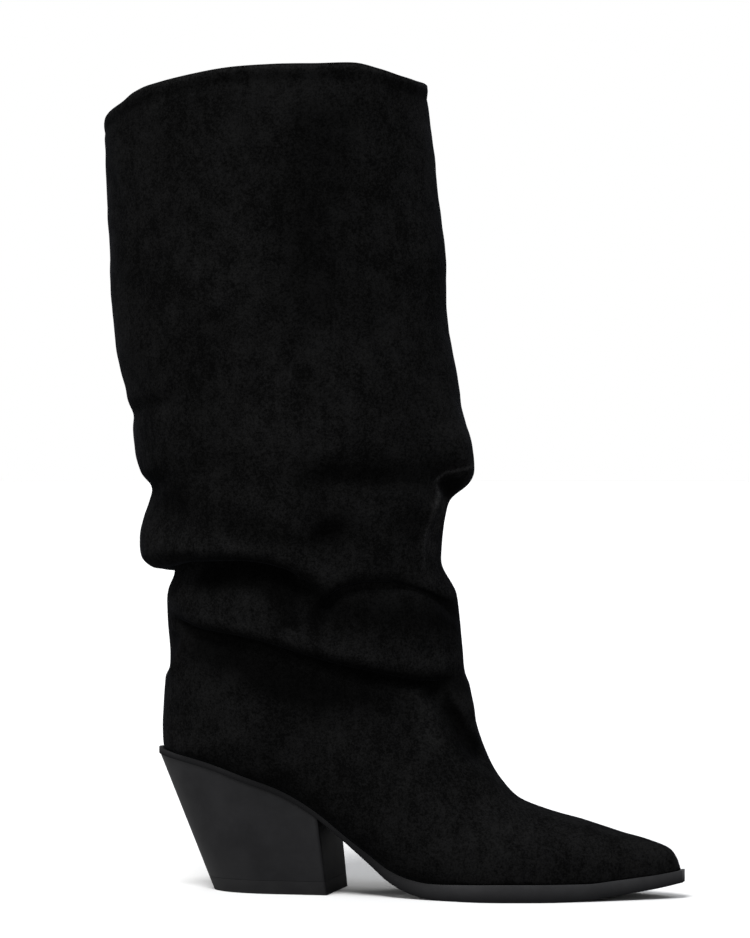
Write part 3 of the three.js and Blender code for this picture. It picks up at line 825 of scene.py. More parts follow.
class Socket:
    """Output of a shader node that takes part in arithmetic."""

    def __init__(self, sheet: "NodeSheet", link: bpy.types.NodeSocket) -> None:
        """Keeps the output and the sheet of nodes that it is on."""
        self.sheet = sheet
        self.link = link

    def _maths(self, operation: str, first: Value, second: Value) -> "Socket":
        """Returns the result of a Math node on two values."""
        return self.sheet.node("ShaderNodeMath", {"operation": operation}, {0: first, 1: second})

    def __add__(self, other: Value) -> "Socket":
        """Returns the sum."""
        return self._maths("ADD", self, other)

    __radd__ = __add__

    def __sub__(self, other: Value) -> "Socket":
        """Returns the difference."""
        return self._maths("SUBTRACT", self, other)

    def __rsub__(self, other: Value) -> "Socket":
        """Returns the difference, the other way round."""
        return self._maths("SUBTRACT", other, self)

    def __mul__(self, other: Value) -> "Socket":
        """Returns the product."""
        return self._maths("MULTIPLY", self, other)

    __rmul__ = __mul__


class NodeSheet:
    """A material's nodes, starting from its Principled BSDF."""

    def __init__(self, name: str) -> None:
        """Makes a material with an empty sheet of nodes beside its shader.

        Args:
            name: name of the material.
        """
        self.material = bpy.data.materials.new(name)
        self.material.use_nodes = True
        self.tree = self.material.node_tree
        self.shader = self.tree.nodes["Principled BSDF"]

    def node(
        self, kind: str, settings: Dict[str, object], inputs: Dict[object, Value], output: int = 0,
    ) -> Socket:
        """Adds a node.

        Args:
            kind: the node's type.
            settings: its settings, set before anything is linked.
            inputs: a value or a link for each of its sockets.
            output: index of the output that is used.

        Returns:
            That output.
        """
        made = self.tree.nodes.new(kind)
        for name, setting in settings.items():
            setattr(made, name, setting)
        for name, value in inputs.items():
            if isinstance(value, Socket):
                self.tree.links.new(value.link, made.inputs[name])
            else:
                made.inputs[name].default_value = value
        return Socket(self, made.outputs[output])

    def place(self, stretch: Tuple[float, float, float] = (1.0, 1.0, 1.0)) -> Socket:
        """Reads the piece's own coordinates.

        Args:
            stretch: how much they are stretched along each axis.

        Returns:
            The coordinates.
        """
        place = self.node("ShaderNodeTexCoord", {}, {}, 3)
        if stretch == (1.0, 1.0, 1.0):
            return place
        return self.node("ShaderNodeMapping", {}, {"Vector": place, "Scale": stretch})

    def noise(self, size: float, detail: float = 2.0, rough: float = 0.5,
              stretch: Tuple[float, float, float] = (1.0, 1.0, 1.0)) -> Socket:
        """Adds a cloudy noise.

        Args:
            size: size of its patches in millimetres.
            detail: how many finer layers it has.
            rough: how strong the finer layers are.
            stretch: how much finer it is along each axis.

        Returns:
            The noise, about 0.5 on average.
        """
        return self.node("ShaderNodeTexNoise", {}, {
            "Vector": self.place(stretch), "Scale": 1.0 / (size * MM), "Detail": detail, "Roughness": rough,
        })

    def spread(self, value: Socket, low: float, high: float) -> Socket:
        """Returns a value with the range from low to high spread over 0 to 1, and clamped."""
        return self.node("ShaderNodeMapRange", {"clamp": True}, {
            "Value": value, "From Min": low, "From Max": high, "To Min": 0.0, "To Max": 1.0,
        })

    def mix(self, share: Value, first: Value, second: Value) -> Socket:
        """Returns a colour between two colours, or past them where the share leaves 0 to 1."""
        return self.node("ShaderNodeMix", {"data_type": "RGBA", "clamp_factor": False}, {
            0: share, 6: first, 7: second,
        }, 2)

    def feed(self, name: str, value: Value) -> None:
        """Links or sets one of the shader's own sockets.

        Args:
            name: name of the socket.
            value: what it gets.
        """
        if isinstance(value, Socket):
            self.tree.links.new(value.link, self.shader.inputs[name])
        else:
            self.shader.inputs[name].default_value = value

    def relief(self, height: Socket, depth: float, below: Union[Socket, None] = None) -> Socket:
        """Adds a bump.

        Args:
            height: the relief's height, from 0 to 1.
            depth: how deep that is in millimetres.
            below: a coarser relief that it lies on.

        Returns:
            The bumped normal.
        """
        inputs: Dict[object, Value] = {"Height": height, "Distance": depth * MM, "Strength": 1.0}
        if below is not None:
            inputs["Normal"] = below
        return self.node("ShaderNodeBump", {}, inputs)


def opaque(colour: Colour) -> Tuple[float, float, float, float]:
    """Returns a colour with full opacity."""
    return (*colour, 1.0)


@dataclass(frozen=True)
class NapLayer:
    """Layer of the suede's uneven tone, with its patches' size in millimetres and its share of the tone."""

    size: float
    detail: float
    rough: float
    half_range: float
    share: float
    stretch: Tuple[float, float, float] = (1.0, 1.0, 1.0)

    def tone(self, sheet: NodeSheet) -> Socket:
        """Returns the layer's part of the tone."""
        noise = sheet.noise(self.size, self.detail, self.rough, self.stretch)
        return sheet.spread(noise, 0.5 - self.half_range, 0.5 + self.half_range) * self.share


@dataclass(frozen=True)
class SuedeFinish:
    """Napped black suede: matt and soft, cloudy where the nap lies differently, with a faint cool bloom, and
    with painted light and shade that its points hold.
    """

    # dark and pale nap under the deepest painted shade (deep, hollow) and under painted light (dark, pale);
    # halfway between where nothing is painted, and past them on a painted highlight
    deep: Colour = (0.0007, 0.0007, 0.0007)
    hollow: Colour = (0.0016, 0.0016, 0.0016)
    dark: Colour = (0.0020, 0.0020, 0.0020)
    pale: Colour = (0.0074, 0.0074, 0.0075)
    bloom: Colour = (0.66, 0.70, 0.84)
    bloom_weight: float = 0.010
    bloom_rough: float = 0.35
    rough: float = 0.86
    nap_rough: float = 0.12
    nap_depth: float = 0.16
    fine_depth: float = 0.22
    coarse_depth: float = 0.35
    tone_range: Pair = (0.29, 0.77)

    # clouds, patches, streaks down the boot, specks and grain
    layers: Tuple[NapLayer, ...] = (
        NapLayer(42.0, 3.0, 0.55, 0.16, 0.18),
        NapLayer(8.0, 4.0, 0.6, 0.16, 0.24, (1.0, 1.0, 0.75)),
        NapLayer(4.0, 3.0, 0.6, 0.18, 0.09, (1.0, 1.0, 0.18)),
        NapLayer(1.8, 3.0, 0.65, 0.14, 0.25),
        NapLayer(0.9, 2.0, 0.7, 0.16, 0.24),
    )

    def make(self) -> bpy.types.Material:
        """Returns the material."""
        sheet = NodeSheet("black_suede")
        clouds, *finer = [layer.tone(sheet) for layer in self.layers]
        shade = sheet.spread(sum(finer, clouds), *self.tone_range)
        nap = sheet.noise(0.8, 3.0, 0.7, (1.0, 1.0, 0.7))
        # painted light and shade of each point: the pale end of the nap's tone, like the dark end, is
        # darkened by painted shade and brightened by painted light
        painted_tone = sheet.node("ShaderNodeAttribute", {"attribute_name": PAINTED_LIGHT_AND_SHADE}, {}, 2)
        rubbed = sheet.mix(painted_tone, opaque(self.hollow), opaque(self.pale))
        dark_nap_painted = sheet.mix(painted_tone, opaque(self.deep), opaque(self.dark))
        sheet.feed("Base Color", sheet.mix(shade, dark_nap_painted, rubbed))
        sheet.feed("Roughness", self.rough + nap * self.nap_rough)
        sheet.feed("Specular IOR Level", 0.0)
        sheet.feed("Sheen Weight", self.bloom_weight)
        sheet.feed("Sheen Roughness", self.bloom_rough)
        sheet.feed("Sheen Tint", opaque(self.bloom))
        coarse = sheet.relief(sheet.noise(7.0, 2.0), self.coarse_depth)
        fine = sheet.relief(sheet.noise(2.4, 3.0, 0.6), self.fine_depth, coarse)
        sheet.feed("Normal", sheet.relief(nap, self.nap_depth, fine))
        return sheet.material


@dataclass(frozen=True)
class SatinFinish:
    """Satin black rubber or lacquer: a faint haze of small marks, and a sheen that dull faces lack, their
    colour darkened as painted shade.
    """

    name: str
    colour: Colour
    worn: Colour
    rough: float
    gloss: float
    grain: float = 0.02
    haze_share: float = 0.6
    haze_rough: float = 0.10
    haze_gloss: float = 0.15
    mark_rough: float = 0.05

    def make(self) -> bpy.types.Material:
        """Returns the material."""
        sheet = NodeSheet(self.name)
        haze = sheet.spread(sheet.noise(18.0, 3.0, 0.6), 0.35, 0.65)
        marks = sheet.spread(sheet.noise(2.5, 3.0, 0.7), 0.45, 0.75)
        grain = sheet.noise(0.6, 2.0, 0.6)
        shade = haze * self.haze_share + marks * (1.0 - self.haze_share)
        # points with little sheen also get painted shade: their colour is darkened towards the shaded share
        shine_and_painted_shade = sheet.node("ShaderNodeAttribute", {"attribute_name": SHINE_AND_PAINTED_SHADE}, {}, 2)
        lacquered = sheet.mix(shade, opaque(self.colour), opaque(self.worn))
        shaded_colour = tuple(SHADED_SHARE * channel for channel in self.colour)
        sheet.feed("Base Color", sheet.mix(shine_and_painted_shade, opaque(shaded_colour), lacquered))
        sheet.feed("Roughness", self.rough + self.haze_rough * haze - self.mark_rough * marks)
        sheet.feed("Specular IOR Level", 0.0)
        sheet.feed("Coat Weight", shine_and_painted_shade * self.gloss * (1.0 - self.haze_gloss + self.haze_gloss * haze))
        sheet.feed("Coat Roughness", self.rough)
        sheet.feed("Normal", sheet.relief(grain, self.grain))
        return sheet.material


SOLE_RUBBER = SatinFinish(
    "sole_rubber", colour=(0.0090, 0.0090, 0.0096), worn=(0.0140, 0.0140, 0.0150), rough=0.46, gloss=0.36,
)
HEEL_LACQUER = SatinFinish(
    "heel_lacquer", colour=(0.0044, 0.0044, 0.0049), worn=(0.0070, 0.0070, 0.0077), rough=0.44, gloss=0.24,
)
TIP_RUBBER = SatinFinish(
    "tip_rubber", colour=(0.0042, 0.0042, 0.0045), worn=(0.0068, 0.0068, 0.0072), rough=0.5, gloss=0.22,
)


@dataclass(frozen=True)
class ClothFinish:
    """Plain black lining cloth with a fine twill."""

    name: str = "lining_cloth"
    colour: Colour = (0.0030, 0.0029, 0.0029)
    thread: Colour = (0.0090, 0.0086, 0.0084)
    pitch: float = 0.9
    twill_share: float = 0.6
    twill_depth: float = 0.12
    slack_depth: float = 1.2

    def make(self) -> bpy.types.Material:
        """Returns the material."""
        sheet = NodeSheet(self.name)
        wave = sheet.node("ShaderNodeTexWave", {"wave_type": "BANDS", "bands_direction": "DIAGONAL"}, {
            "Vector": sheet.place(), "Scale": 0.5 / (self.pitch * MM), "Distortion": 0.6, "Detail": 1.0,
        }, 1)
        clouds = sheet.noise(20.0, 3.0)
        shade = wave * self.twill_share + clouds * (1.0 - self.twill_share)
        sheet.feed("Base Color", sheet.mix(shade, opaque(self.colour), opaque(self.thread)))
        sheet.feed("Roughness", 0.85 + clouds * 0.1)
        sheet.feed("Specular IOR Level", 0.0)
        slack = sheet.relief(sheet.noise(26.0, 2.0), self.slack_depth)
        sheet.feed("Normal", sheet.relief(wave, self.twill_depth, slack))
        return sheet.material


@dataclass(frozen=True)
class SockFinish:
    """Smooth dark sock of the insole, with a fine leather grain and paler where the foot rubs it."""

    colour: Colour = (0.018, 0.015, 0.013)
    rubbed: Colour = (0.034, 0.029, 0.025)

    def make(self) -> bpy.types.Material:
        """Returns the material."""
        sheet = NodeSheet("insole_sock")
        cells = sheet.node("ShaderNodeTexVoronoi", {"feature": "F1"}, {
            "Vector": sheet.place(), "Scale": 1.0 / (1.3 * MM), "Randomness": 1.0,
        })
        rub = sheet.spread(sheet.noise(30.0, 3.0), 0.4, 0.65)
        sheet.feed("Base Color", sheet.mix(rub, opaque(self.colour), opaque(self.rubbed)))
        sheet.feed("Roughness", 0.7 - rub * 0.15)
        sheet.feed("Specular IOR Level", 0.3)
        sheet.feed("Normal", sheet.relief(cells, 0.08))
        return sheet.material


@dataclass
class Bottom:
    """Outsole, heel block, top lift and insole."""

    bench: Workbench
    form: SoleForm
    stations: int = 220
    across: int = 10
    edge_round: float = 1.1
    seat_end: float = 106.0
    ball_start: float = 152.0
    insole_thickness: float = 2.0
    insole_margin: float = 4.0
    insole_front: float = 0.94
    insole_gap: float = 0.3
    insole_round: float = 0.5
    heel_stations: int = 72
    heel_across: int = 12
    heel_round: float = 0.9
    tip_round: float = 0.45
    tip_seam: float = 0.12
    narrowest: float = 0.05

    # how far the stations crowd towards the back, where the plan is round
    crowding: float = 0.72
    heel_crowding: float = 0.9

    # faces across a rounded edge, and the least angle of an edge that is rounded or left sharp
    round_faces: int = 3
    edge_angle: float = 35.0

    # sheen of the faces turned away from the light, whose colour is darkened there as painted shade, and
    # where it rises: over the sole's underside, in widths of its rounded edge, and behind the heel's breast,
    # in millimetres
    shaded_shine: float = 0.35
    edge_shine_and_shade: Pair = (0.3, 1.4)
    breast_shine_and_shade: Pair = (0.3, 1.2)

    def plan(self, start: float, end: float, inset: float) -> np.ndarray:
        """Points of a flat plan of the sole.

        Args:
            start: its back end.
            end: its front end.
            inset: how far the outline is drawn in.

        Returns:
            Points, a row of them across the sole at each station.
        """
        t = np.linspace(0.0, 1.0, self.stations + 1)
        x = lerp(start, end, lerp(t, 1.0 - np.cos(t * math.pi / 2.0), self.crowding))
        side = np.linspace(-1.0, 1.0, self.across + 1)
        half = np.maximum(self.form.half(x, inset), self.narrowest)
        y = self.form.centre(x)[:, None] + half[:, None] * side[None, :]
        return np.stack([np.repeat(x[:, None], self.across + 1, axis=1), y, np.zeros_like(y)], axis=-1)

    def slab(
        self, name: str, plan: np.ndarray, low: Callable[[np.ndarray], np.ndarray],
        high: Callable[[np.ndarray], np.ndarray], rounding: float,
    ) -> bpy.types.Object:
        """Slab on a plan of the sole, between two heights.

        Args:
            name: name of the piece.
            plan: points of its plan.
            low: height of its underside along the sole.
            high: height of its upper face along the sole.
            rounding: width of its rounded edges.

        Returns:
            The slab.
        """
        points = plan.copy()
        points[..., 2] = low(points[..., 0])
        piece = self.bench.grid(name, self.across, self.stations, points)

        def raised(start: np.ndarray) -> np.ndarray:
            """Returns the points of the upper face over those of the underside."""
            return np.column_stack([start[:, 0], start[:, 1], high(start[:, 0])])

        self.bench.thicken(piece, raised)
        self.bench.weld(piece)
        self.bench.bevel(piece, rounding, self.round_faces, self.edge_angle)
        self.bench.smooth(piece, self.edge_angle)
        return piece

    def outsole(self) -> bpy.types.Object:
        """Returns the outsole, in one slab from the heel seat to the snipped toe."""
        plan = self.plan(0.0, self.form.length, 0.0)
        piece = self.slab("outsole_shaped", plan, self.form.underside, self.form.top, self.edge_round)
        points = self.bench.measured(piece)
        # less sheen, and painted shade, on the underside and its rounded bottom edge; less sheen and a
        # darker colour behind the ball, at the seat and waist
        over = points[:, 2] - self.form.underside(points[:, 0])
        edge = smoothstep(*self.edge_shine_and_shade, over / self.edge_round)
        forward = smoothstep(self.seat_end, self.ball_start, points[:, 0])
        self.bench.mark(piece, SHINE_AND_PAINTED_SHADE, edge * lerp(self.shaded_shine, 1.0, forward))
        piece.data.materials.append(SOLE_RUBBER.make())
        return piece

    def insole(self) -> bpy.types.Object:
        """Returns the insole, which lies inside the upper on the sole."""
        inset = self.insole_margin
        plan = self.plan(inset + self.narrowest, self.insole_front * self.form.length - inset, inset)

        def low(x: np.ndarray) -> np.ndarray:
            """Returns the height that the insole lies at."""
            return self.form.top(x) + self.insole_gap

        def high(x: np.ndarray) -> np.ndarray:
            """Returns the height of its upper face."""
            return low(x) + self.insole_thickness

        piece = self.slab("insole_sock", plan, low, high, self.insole_round)
        piece.data.materials.append(SockFinish().make())
        return piece

    def block(self, name: str, low: float, high: float, rounding: float) -> bpy.types.Object:
        """Part of the heel between two heights.

        Args:
            name: name of the piece.
            low: height of its underside over the floor.
            high: height of its upper face, or 0 for one that reaches the seat.
            rounding: width of its rounded edges.

        Returns:
            The block.
        """
        stations, across = self.heel_stations, self.heel_across
        t = np.linspace(0.0, 1.0, stations + 1)
        share = lerp(t, 1.0 - np.cos(t * math.pi / 2.0), self.heel_crowding)[:, None]
        side = np.linspace(-1.0, 1.0, across + 1)[None, :]
        seat_z = self.form.underside(lerp(self.form.heel_seat_inset, self.form.heel_seat_length, share))
        foot = self.form.heel_side(*np.broadcast_arrays(share, side, low / seat_z))
        up = high / seat_z if high else np.ones_like(seat_z)
        seat = self.form.heel_side(*np.broadcast_arrays(share, side, up)).reshape(-1, 3)
        piece = self.bench.grid(name, across, stations, foot)
        order = foot.reshape(-1, 3)

        def raised(start: np.ndarray) -> np.ndarray:
            """Returns the point of the upper face over each point of the underside."""
            near = ((start[:, None, :] - order[None, :, :]) ** 2).sum(axis=-1).argmin(axis=1)
            return seat[near]

        self.bench.thicken(piece, raised)
        self.bench.weld(piece)
        self.bench.bevel(piece, rounding, self.round_faces, self.edge_angle)
        self.bench.smooth(piece, self.edge_angle)
        # less sheen on the heel's breast, where its colour is darkened as painted shade
        points = self.bench.measured(piece)
        ends = self.form.heel_side(np.ones(2), np.zeros(2), np.array([0.0, 1.0]))
        (foot_x, _, _), (seat_x, _, seat_z) = ends
        behind = lerp(foot_x, seat_x, points[:, 2] / seat_z) - points[:, 0]
        self.bench.mark(piece, SHINE_AND_PAINTED_SHADE, lerp(self.shaded_shine, 1.0, smoothstep(*self.breast_shine_and_shade, behind)))
        return piece

    def build(self) -> None:
        """Makes the four pieces and puts them on the model."""
        self.bench.hand_over(self.outsole(), Slot.SOLE, "outsole")
        self.bench.hand_over(self.insole(), Slot.INSOLE, "insole")
        lift = self.form.lift_thickness
        heel = self.block("heel_block", lift + self.tip_seam, 0.0, self.heel_round)
        heel.data.materials.append(HEEL_LACQUER.make())
        self.bench.hand_over(heel, Slot.HEEL, "heel")
        tip = self.block("heel_tip", 0.0, lift, self.tip_round)
        tip.data.materials.append(TIP_RUBBER.make())
        self.bench.hand_over(tip, Slot.LIFT, "top_lift")


@dataclass
class Leg:
    """The suede upper with its turned hem, and the lining inside it."""

    bench: Workbench
    form: UpperForm
    columns: int = 176
    row_spacing: float = 1.75
    fold_row_spacing: float = 1.0
    suede_thickness: float = 0.9
    lining_depth: float = 1.1
    lining_thickness: float = 0.5
    hem_radius: float = 1.15
    hem_drop: float = 14.0
    hem_faces: int = 7
    hem_steps: Tuple[float, ...] = (3.0, 6.5, 10.0)
    hem_edge: float = 0.6
    hem_clear: float = 1.5
    rim_reach: float = 30.0

    # millimetres round the leg to a degree, and how much the folds' way out keeps of its slope
    degree_run: float = 0.85
    fold_slope: float = 0.3

    # height over the sole where the small relief is whole, and how far inwards the outer side's fades
    free_height: float = 12.0
    outer_side: Pair = (-2.0, 6.0)

    # seed, length and height of the waves, their strength on the foot, and where the shaft's takes over
    wave_sets: Tuple[Tuple[int, float, float], ...] = ((7, 34.0, 0.42), (11, 12.0, 0.16))
    foot_waves: float = 0.35
    shaft_blend: Pair = (146.8, 206.8)

    # bands round the collar: height, or painted highlight along the rim and painted shade under it, drop
    # under the rim and spread
    hem_swell: Tuple[float, float, float] = (0.35, 2.0, 2.2)
    hem_groove: Tuple[float, float, float] = (-0.30, 7.0, 1.6)
    rim_highlight: Tuple[float, float, float] = (1.3, 0.0, 1.0)
    groove_shade: Tuple[float, float, float] = (-0.35, 5.0, 2.6)

    # lining: rows and columns that it clears, the mean that eases it, and where under the rim it lets go
    lining_reach: Tuple[int, int] = (16, 4)
    lining_mean: Tuple[int, int, int] = (4, 1, 1)
    lining_loose: Pair = (22.0, 60.0)

    # painted light and shade on the suede: the mean that a hollow is measured from, the painted shade in
    # hollows (painted light on rises) and its depth, the painted shade on faces turned down under overhangs,
    # the brightest painted highlight
    hollow_mean: Tuple[int, int, int] = (14, 5, 4)
    hollow_shade: float = 0.22
    hollow_depth: float = 1.6
    downward_shade: float = 0.9
    brightest_highlight: float = 2.5

    creases: Tuple[Crease, ...] = (
        Crease(((11, 203), (15, 193), (17, 182), (18, 173), (17, 163)), -1.3, 2.2, fade=0.15),
        Crease(((19, 199), (23, 190), (25, 180), (25, 170)), 0.8, 3.0),
        Crease(((157, 131), (161, 122), (165, 113.5), (169, 106)), -1.2, 2.5),
        Crease(((166, 132), (171, 122), (175, 114), (178, 107)), 1.5, 4.5),
        Crease(((205, 238), (180, 238), (160, 241), (140, 246)), 1.2, 4.5, 0.5),
        Crease(((200, 201), (180, 201), (165, 203), (150, 207)), 1.2, 4.0, 0.5),
        Crease(((98, 164), (85, 155.5), (71, 148), (57, 140)), 0.5, 6.0),
        Crease(((104, 182), (86, 181), (68, 181)), -1.8, 6.5, fade=0.3),
    )
    foot_creases: Tuple[FootCrease, ...] = (
        FootCrease(((148, 101), (153, 92), (157, 83), (162.5, 73.5), (168, 65), (176, 56)), 1.2, 2.4, 0.7),
    )
    # painted shadow under the folds, painted light on their rolls and on parts of the shaft, and a painted
    # highlight along the pinched ridge at the front
    painted_light_and_shade_bands: Tuple[PaintedLightShadeBand, ...] = (
        PaintedLightShadeBand(((172, 127), (150, 122), (126, 115), (95, 107), (64, 102), (40, 99), (10, 97)), -1.0, 10.0),
        PaintedLightShadeBand(((130, 112), (105, 104), (80, 98), (55, 94)), -0.6, 9.0),
        PaintedLightShadeBand(((20, 107), (8, 104), (-6, 102)), -0.8, 6.0),
        PaintedLightShadeBand(((152, 157), (134, 157), (117, 158), (103, 157), (90, 152)), -1.1, 8.0, 0.12),
        PaintedLightShadeBand(((100, 163), (93, 150), (90, 131)), -1.1, 10.0, 0.1),
        PaintedLightShadeBand(((84, 141), (48, 140), (20, 137), (-8, 135)), -0.95, 12.0, 0.1),
        PaintedLightShadeBand(((168, 199), (150, 195), (130, 189), (112, 184), (95, 181), (80, 180), (62, 181),
                 (42, 184)), -0.62, 7.5, 0.14),
        PaintedLightShadeBand(((90, 208), (66, 208.5), (40, 208), (14, 206)), -0.36, 6.0, 0.2),
        PaintedLightShadeBand(((96, 186), (85, 181), (74, 178)), 0.35, 6.0, 0.3),
        PaintedLightShadeBand(((165, 136.5), (142, 131), (109, 125), (79, 118.8), (51, 113), (30, 108.8), (10, 104.5)),
                -0.8, 2.2, 0.06),
        PaintedLightShadeBand(((140, 166), (117, 166), (103, 164), (94, 162)), -0.8, 2.2, 0.15),
        PaintedLightShadeBand(((24, 196), (29, 188), (30, 176)), -0.2, 6.0),
        PaintedLightShadeBand(((0, 214), (6, 211.5), (11, 209.5), (13.5, 205), (13, 201), (16, 192), (17, 182),
                 (17, 172), (16, 161)), 3.2, 1.0, 0.07),
        PaintedLightShadeBand(((5, 198), (9, 188), (10, 178), (9, 165)), 2.0, 4.0, 0.15),
        PaintedLightShadeBand(((140, 236), (110, 234), (70, 232), (40, 230)), 0.32, 16.0, 0.3),
        PaintedLightShadeBand(((18, 391), (12, 384), (8, 376)), 0.5, 6.0, 0.3),
        PaintedLightShadeBand(((9, 206), (5, 202), (2, 197)), -0.9, 3.2),
        PaintedLightShadeBand(((164, 132), (167, 122), (170, 113), (173, 106)), -1.0, 4.0),
        PaintedLightShadeBand(((150, 172), (134, 171.5), (117, 171), (100, 169), (88, 165), (70, 164)), 0.55, 3.5),
        PaintedLightShadeBand(((162, 141), (126, 134), (95, 128), (64, 122), (40, 117), (21, 113)), 0.5, 3.2),
        PaintedLightShadeBand(((58, 392), (74, 358), (80, 330), (75, 300), (68, 270)), -0.6, 14.0, 0.2),
        PaintedLightShadeBand(((96, 384), (70, 384), (44, 382)), -0.35, 7.0, 0.3),
        PaintedLightShadeBand(((112, 350), (114, 310), (120, 270)), 0.2, 14.0, 0.4),
        PaintedLightShadeBand(((26, 392), (22, 340), (20, 290)), 0.3, 9.0, 0.4),
        PaintedLightShadeBand(((112, 252), (100, 246), (88, 243)), 0.25, 10.0, 0.4),
        PaintedLightShadeBand(((148, 101), (153, 92), (157, 83), (162.5, 73.5), (168, 65)), -1.0, 4.5, on_foot=True),
        PaintedLightShadeBand(((138, 102), (142, 90), (146, 79), (152, 69)), 0.35, 5.0, 0.35, on_foot=True),
    )

    def leg_place(self, path: Sequence[Pair], points: np.ndarray) -> Tuple[np.ndarray, np.ndarray]:
        """Signed distance of points from a path round the leg, and where along it they are.

        Args:
            path: turns in degrees and heights in millimetres.
            points: points of the upper.

        Returns:
            The distance in millimetres, positive on the path's left, and the share of the path.
        """
        near = wrapped(self.form.degrees(points), (path[0][0] + path[-1][0]) / 2.0)
        flat = [(-turn * self.degree_run, height) for turn, height in path]
        return path_distance(flat, -near * self.degree_run, points[..., 2])

    def small_shift(self, points: np.ndarray) -> np.ndarray:
        """How far points of the folded upper move out for the small creases and waves.

        Args:
            points: points of the folded upper.

        Returns:
            The shift of each point, in millimetres.
        """
        z = points[..., 2]
        out = np.zeros_like(z)
        for crease in self.creases:
            distance, along = self.leg_place(crease.path, points)
            ends = run_out(along, 0.0, 1.0, crease.fade)
            beside = bump(distance / crease.width - crease.reach, 1.0)
            out += ends * (crease.swell * beside - crease.deep * bump(distance, crease.width))
        for crease in self.foot_creases:
            distance, along = path_distance(crease.path, points[..., 0], z)
            ends = run_out(along, 0.0, 1.0, crease.fade)
            ends *= smoothstep(*self.outer_side, -points[..., 1])
            beside = bump(distance / crease.width - crease.reach, 1.0)
            out += ends * (crease.swell * beside - crease.deep * bump(distance, crease.width))
        return out

    def painted_light_and_shade(self, grid: np.ndarray, normals: np.ndarray, relief: np.ndarray) -> np.ndarray:
        """Painted light and shade on the suede: painted shade in hollows and on faces turned down, painted
        light on rises, and painted bands along the folds and round the collar.

        Args:
            grid: points of the outer sheet.
            normals: their outward directions.
            relief: how far they stand out from the plain upper, in millimetres.

        Returns:
            A value for each point, from 0 for the deepest painted shade over 1 for painted light to the
            brightest painted highlight on the sharpest ridge.
        """
        hollow = relief - self.blurred(relief, *self.hollow_mean)
        tone = self.hollow_shade * np.tanh(hollow / self.hollow_depth)
        tone += self.downward_shade * np.minimum(normals[..., 2], 0.0)
        below_rim = grid[-1, :, 2][None, :] - grid[..., 2]
        tone += self.collar_band(below_rim, *self.rim_highlight) + self.collar_band(below_rim, *self.groove_shade)
        for band in self.painted_light_and_shade_bands:
            if band.on_foot:
                distance, along = path_distance(band.path, grid[..., 0], grid[..., 2])
                shown = smoothstep(*self.outer_side, -grid[..., 1])
            else:
                distance, along = self.leg_place(band.path, grid)
                shown = np.ones_like(distance)
            shown *= run_out(along, 0.0, 1.0, band.fade)
            tone += band.tone * shown * bump(distance, band.width)
        return np.clip(UNPAINTED_TONE * (1.0 + tone), 0.0, self.brightest_highlight)

    @staticmethod
    def collar_band(below_rim: np.ndarray, size: float, drop: float, spread: float) -> np.ndarray:
        """Returns a soft band of some size round the collar, at a drop under the rim."""
        return size * bump(below_rim - drop, spread)

    @staticmethod
    def blurred(values: np.ndarray, rows: int, columns: int, rounds: int) -> np.ndarray:
        """Mean of values over their neighbours.

        Args:
            values: a value for each point of the outer sheet.
            rows: how many rows on either side are taken in.
            columns: how many columns on either side are taken in.
            rounds: how many times the mean is taken.

        Returns:
            The smoothed values.
        """
        height, width = values.shape[0], values.shape[1] - 1
        tall_count, ring_count = 2 * rows + 1, 2 * columns + 1
        for _ in range(rounds):
            tall = np.pad(values, ((rows, rows), (0, 0)), mode="edge")
            values = sum(tall[i:i + height] for i in range(tall_count)) / tall_count
            ring = np.pad(values[:, :-1], ((0, 0), (columns, columns)), mode="wrap")
            around = sum(ring[:, j:j + width] for j in range(ring_count)) / ring_count
            values = np.concatenate([around, around[:, :1]], axis=1)
        return values

    @staticmethod
    def lowest(values: np.ndarray, rows: int, columns: int) -> np.ndarray:
        """Least of each value and its neighbours.

        Args:
            values: a value for each point of the outer sheet.
            rows: how many rows on either side are taken in.
            columns: how many columns on either side are taken in.

        Returns:
            The least values.
        """
        tall = np.pad(values, ((rows, rows), (0, 0)), mode="edge")
        least = np.min([tall[i:i + len(values)] for i in range(2 * rows + 1)], axis=0)
        ring = np.pad(least[:, :-1], ((0, 0), (columns, columns)), mode="wrap")
        around = np.min([ring[:, j:j + values.shape[1] - 1] for j in range(2 * columns + 1)], axis=0)
        return np.concatenate([around, around[:, :1]], axis=1)

    def waves(self, points: np.ndarray, seed: int, size: float) -> np.ndarray:
        """Slow seeded waves over the suede.

        Args:
            points: points of the upper.
            seed: seed of the draws.
            size: length of the waves in millimetres.

        Returns:
            A value between about -1 and 1 at each point.
        """
        draws = np.random.default_rng(seed)
        total = np.zeros(points.shape[:-1])
        count = 7
        for _ in range(count):
            way = draws.normal(size=3)
            way /= np.linalg.norm(way)
            pitch = 2.0 * math.pi / (size * draws.uniform(0.7, 1.5))
            total += np.sin(points @ way * pitch + draws.uniform(0.0, 2.0 * math.pi))
        return total / math.sqrt(count)

    def ripples(self, points: np.ndarray) -> np.ndarray:
        """Returns all the waves of the suede together, weaker on the foot than on the shaft."""
        strength = lerp(self.foot_waves, 1.0, smoothstep(*self.shaft_blend, points[..., 2]))
        return strength * sum(high * self.waves(points, seed, size) for seed, size, high in self.wave_sets)

